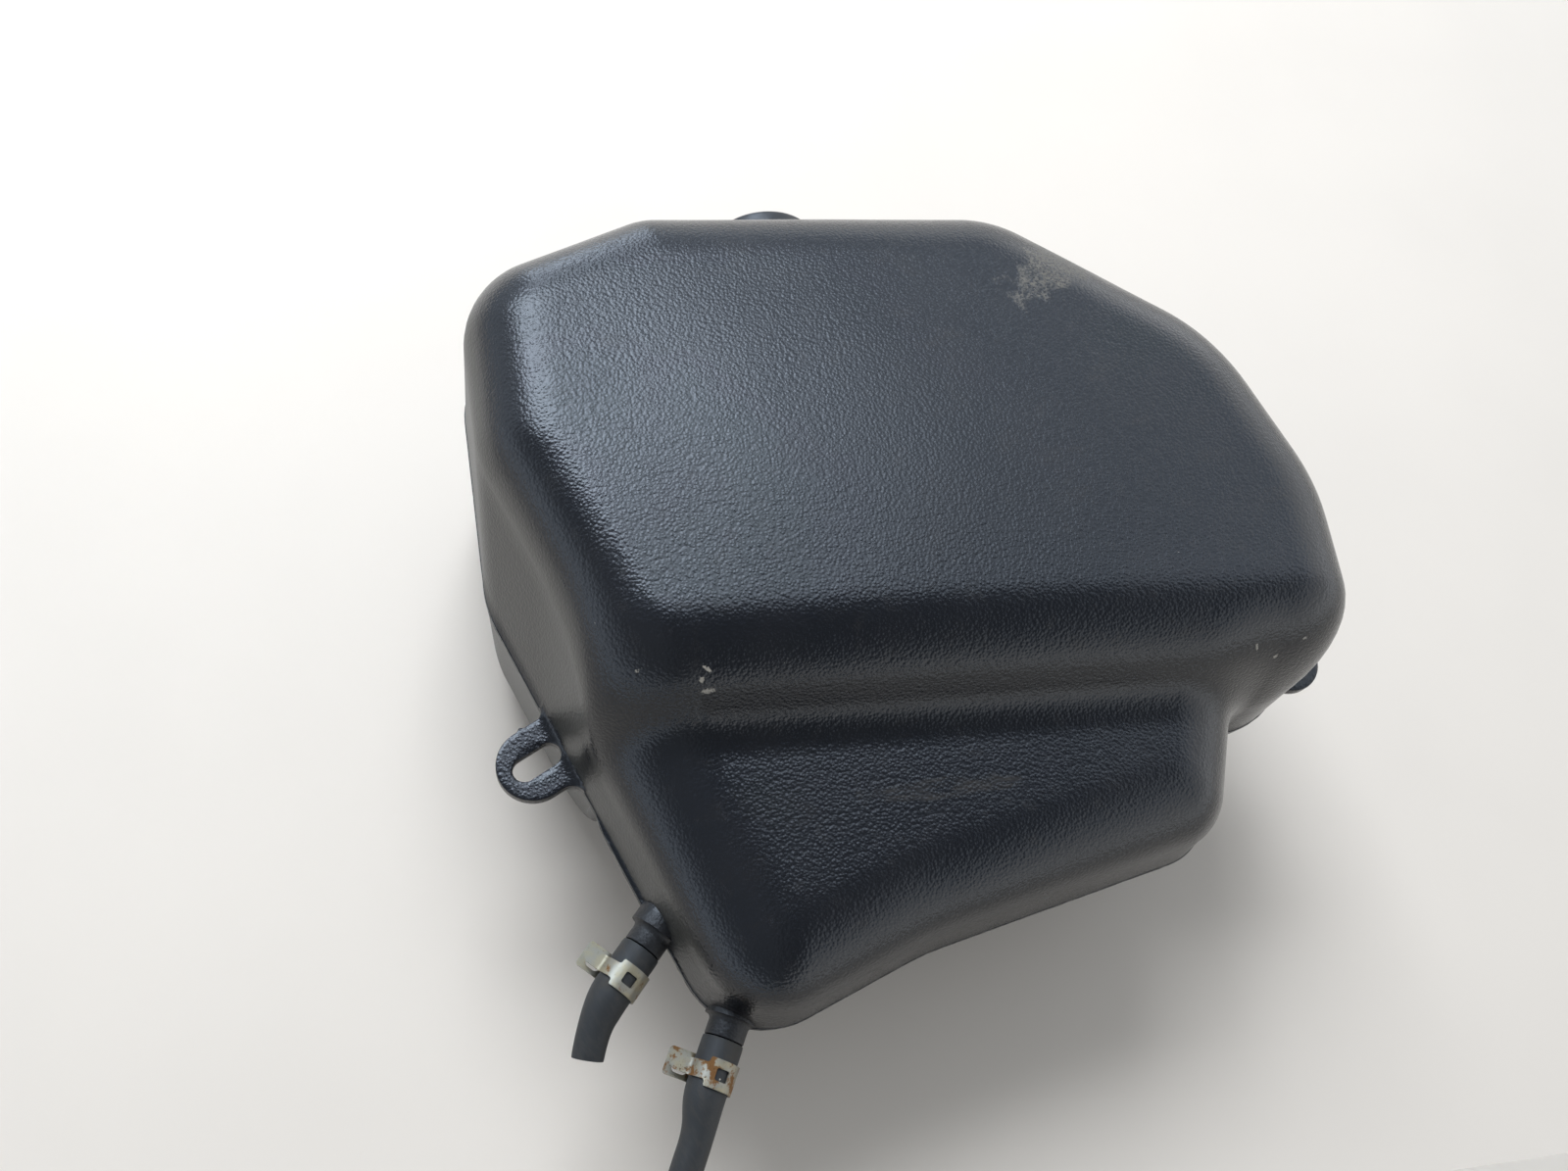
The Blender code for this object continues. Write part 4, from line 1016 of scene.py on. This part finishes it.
class Room(Nodes):
    """The world's shading: pale for the camera, even for soft light, and a room in reflections.

    Directions are an azimuth from the front, positive to the right, and a height, in degrees.
    """

    def __init__(self, tree):
        super().__init__(tree)
        way = self.node("ShaderNodeTexCoord").outputs["Generated"]
        x, y, z = self.node("ShaderNodeSeparateXYZ", {0: way}).outputs
        front = self.product(y, -1)
        self.azimuth = self.math("DEGREES", self.math("ARCTAN2", x, front))
        self.height = self.math("DEGREES", self.math("ARCSINE", z))
        self.across = self.math("DIVIDE", x, self.math("MAXIMUM", z, 0.1))

    def low_part(self):
        """Below the horizon: dim ahead, darkest just right of the middle, lighter to both sides."""
        azimuth, ramp = self.azimuth, self.ramp
        from_dark = self.math("ABSOLUTE", self.math("SUBTRACT", azimuth, 12))
        return self.total(
            0.27, ramp(azimuth, -50, -110, 1.7), ramp(azimuth, 26, 50, 0.85),
            ramp(azimuth, 60, 95, 0.6), ramp(from_dark, 24, 10, -0.15),
        )

    def high_part(self):
        """Above it: walls, bright windows ahead and overhead, and a dimmer one on the right."""
        azimuth, height, across, ramp = self.azimuth, self.height, self.across, self.ramp
        ahead = self.product(ramp(azimuth, -46, -36), ramp(azimuth, 6, -8), ramp(height, 21, 25),
                             ramp(height, 50, 36, 9.0))
        beside = self.math("MAXIMUM", ramp(across, -0.24, -0.18), ramp(height, 54, 46))
        above = self.product(beside, ramp(across, -0.45, -0.35), ramp(across, -0.02, -0.11),
                             ramp(height, 30, 38, 4.2))
        windows = self.math("MAXIMUM", ahead, above)
        glow = self.product(ramp(azimuth, 27, 3), ramp(azimuth, -8, 2), ramp(height, 47, 30, 2.8))
        right = self.product(ramp(across, 0.6, 0.75), ramp(across, 1.6, 1.4),
                             ramp(height, 35, 42, 0.7))
        return self.total(0.95, ramp(azimuth, 35, 40, 0.55), ramp(azimuth, -75, -110, -0.2),
                          windows, glow, right)

    def level(self):
        """The low part up to a horizon, which lies lower on the right, and the high part above."""
        raised = self.total(self.height, self.ramp(self.azimuth, -1, 4, 10.5),
                            self.ramp(self.azimuth, 19, 28, 4.5))
        return self.mix(self.ramp(raised, 17.5, 21.5), self.low_part(), self.high_part())


def build_world():
    world = bpy.data.worlds.new("studio")
    bpy.context.scene.world = world
    world.use_nodes = True
    room = Room(world.node_tree)
    rays = room.node("ShaderNodeLightPath")
    cool = room.ramp(room.azimuth, 60, 35)
    tint = room.mix_colours(cool, (0.97, 1.0, 1.03, 1), (0.86, 1.0, 1.18, 1))
    soft = room.mix(rays.outputs["Is Glossy Ray"], SOFT_LIGHT, room.level())
    colour = room.mix_colours(rays.outputs["Is Glossy Ray"], (1, 0.99, 0.97, 1), tint)
    background = world.node_tree.nodes["Background"]
    room.feed(background.inputs["Color"], colour)
    room.feed(background.inputs["Strength"],
              room.mix(rays.outputs["Is Camera Ray"], soft, BACKDROP))


def build_stage(lowest):
    """A back sheet that the tank lies against, a floor, and soft light from above."""
    wall = Matrix.Translation((0, SHEET_GAP, 0)) @ Matrix.Rotation(math.radians(90), 4, "X")
    one_sided("back_sheet", SHEET_SIZE, wall, SHEET_COLOUR, True)
    ground = Matrix.Translation((0, 0, lowest - SHEET_GAP))
    floor = one_sided("floor", FLOOR_SIZE, ground, FLOOR_COLOUR, False)
    floor.visible_glossy = floor.visible_diffuse = False
    build_world()
    area_light("overhead", (-0.2, -1.3, 0.85), (0, 0, 0), (0.8, 0.7), OVERHEAD_POWER, False)
    area_light("rear_fill", (0.7, 1.5, 1.0), (0, -0.08, 0), (1.0, 0.8), REAR_POWER)


def build_camera():
    """The camera looks up at the tank from the lower left, turned a little about its own axis."""
    angles = CAMERA_AZIMUTH, CAMERA_HEIGHT, CAMERA_ROLL
    azimuth, height, roll = (math.radians(angle) for angle in angles)
    back = Vector((math.sin(azimuth) * math.cos(height), -math.cos(azimuth) * math.cos(height),
                   math.sin(height)))
    right = (-back).cross(Vector((0, 0, 1))).normalized()
    up = right.cross(-back)
    turned_right = right * math.cos(roll) + up * math.sin(roll)
    turned_up = -right * math.sin(roll) + up * math.cos(roll)
    data = bpy.data.cameras.new("camera")
    data.lens, data.sensor_width, data.clip_start = LENS, SENSOR, CLIP_START
    camera = linked("camera", data)
    matrix = Matrix((turned_right, turned_up, back)).transposed().to_4x4()
    matrix.translation = Vector(CAMERA_TARGET) + back * CAMERA_AWAY
    camera.matrix_world = matrix
    bpy.context.scene.camera = camera


def main():
    cad_low, cad_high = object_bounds()
    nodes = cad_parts
    show(build_shell("tank_front", FRONT), "tank", "front_shell", tank_look("tank_front", True))
    show(build_shell("tank_rear", REAR), "tank", "rear_shell", tank_look("tank_rear", False))
    show(build_cap(), "cap", "filler_cap",
         plain_look("cap", (0.012, 0.013, 0.015), (0.020, 0.020, 0.021), 0.38, 0.9))
    for outlet in (SIDE_OUTLET, BOTTOM_OUTLET):
        name = outlet.name
        show(build_hose(outlet), "tank", f"{name}_hose", hose_look(f"{name}_hose"))
        show(build_clamp(outlet), f"{name}_clamp", f"{name}_hose_clamp",
             clamp_look(f"{name}_clamp", outlet.rust))
        dress(nodes[f"{name}_spigot"],
              plain_look(f"{name}_spigot", (0.015, 0.015, 0.017), (0.02, 0.02, 0.02), 0.4, 0.9))
    for node, colour, second, rough, metallic in (
        ("filler_neck", (0.014, 0.016, 0.020), (0.022, 0.022, 0.024), 0.45, 0),
        ("cap_gasket", (0.02, 0.02, 0.02), (0.035, 0.034, 0.032), 0.7, 0),
        ("vent_disc", (0.03, 0.03, 0.03), (0.045, 0.044, 0.042), 0.6, 0),
        ("vent_retainer", (0.6, 0.58, 0.5), (0.5, 0.47, 0.38), 0.5, 0),
        ("vent_spring", (0.5, 0.5, 0.5), (0.35, 0.32, 0.28), 0.3, 1),
        ("outlet_strainer", (0.7, 0.7, 0.62), (0.6, 0.58, 0.48), 0.5, 0),
    ):
        dress(nodes[node], plain_look(node, colour, second, rough, 0.7, metallic))
    build_stage(cad_low.z)
    build_camera()
    bpy.context.scene.view_settings.view_transform = "Standard"


main()
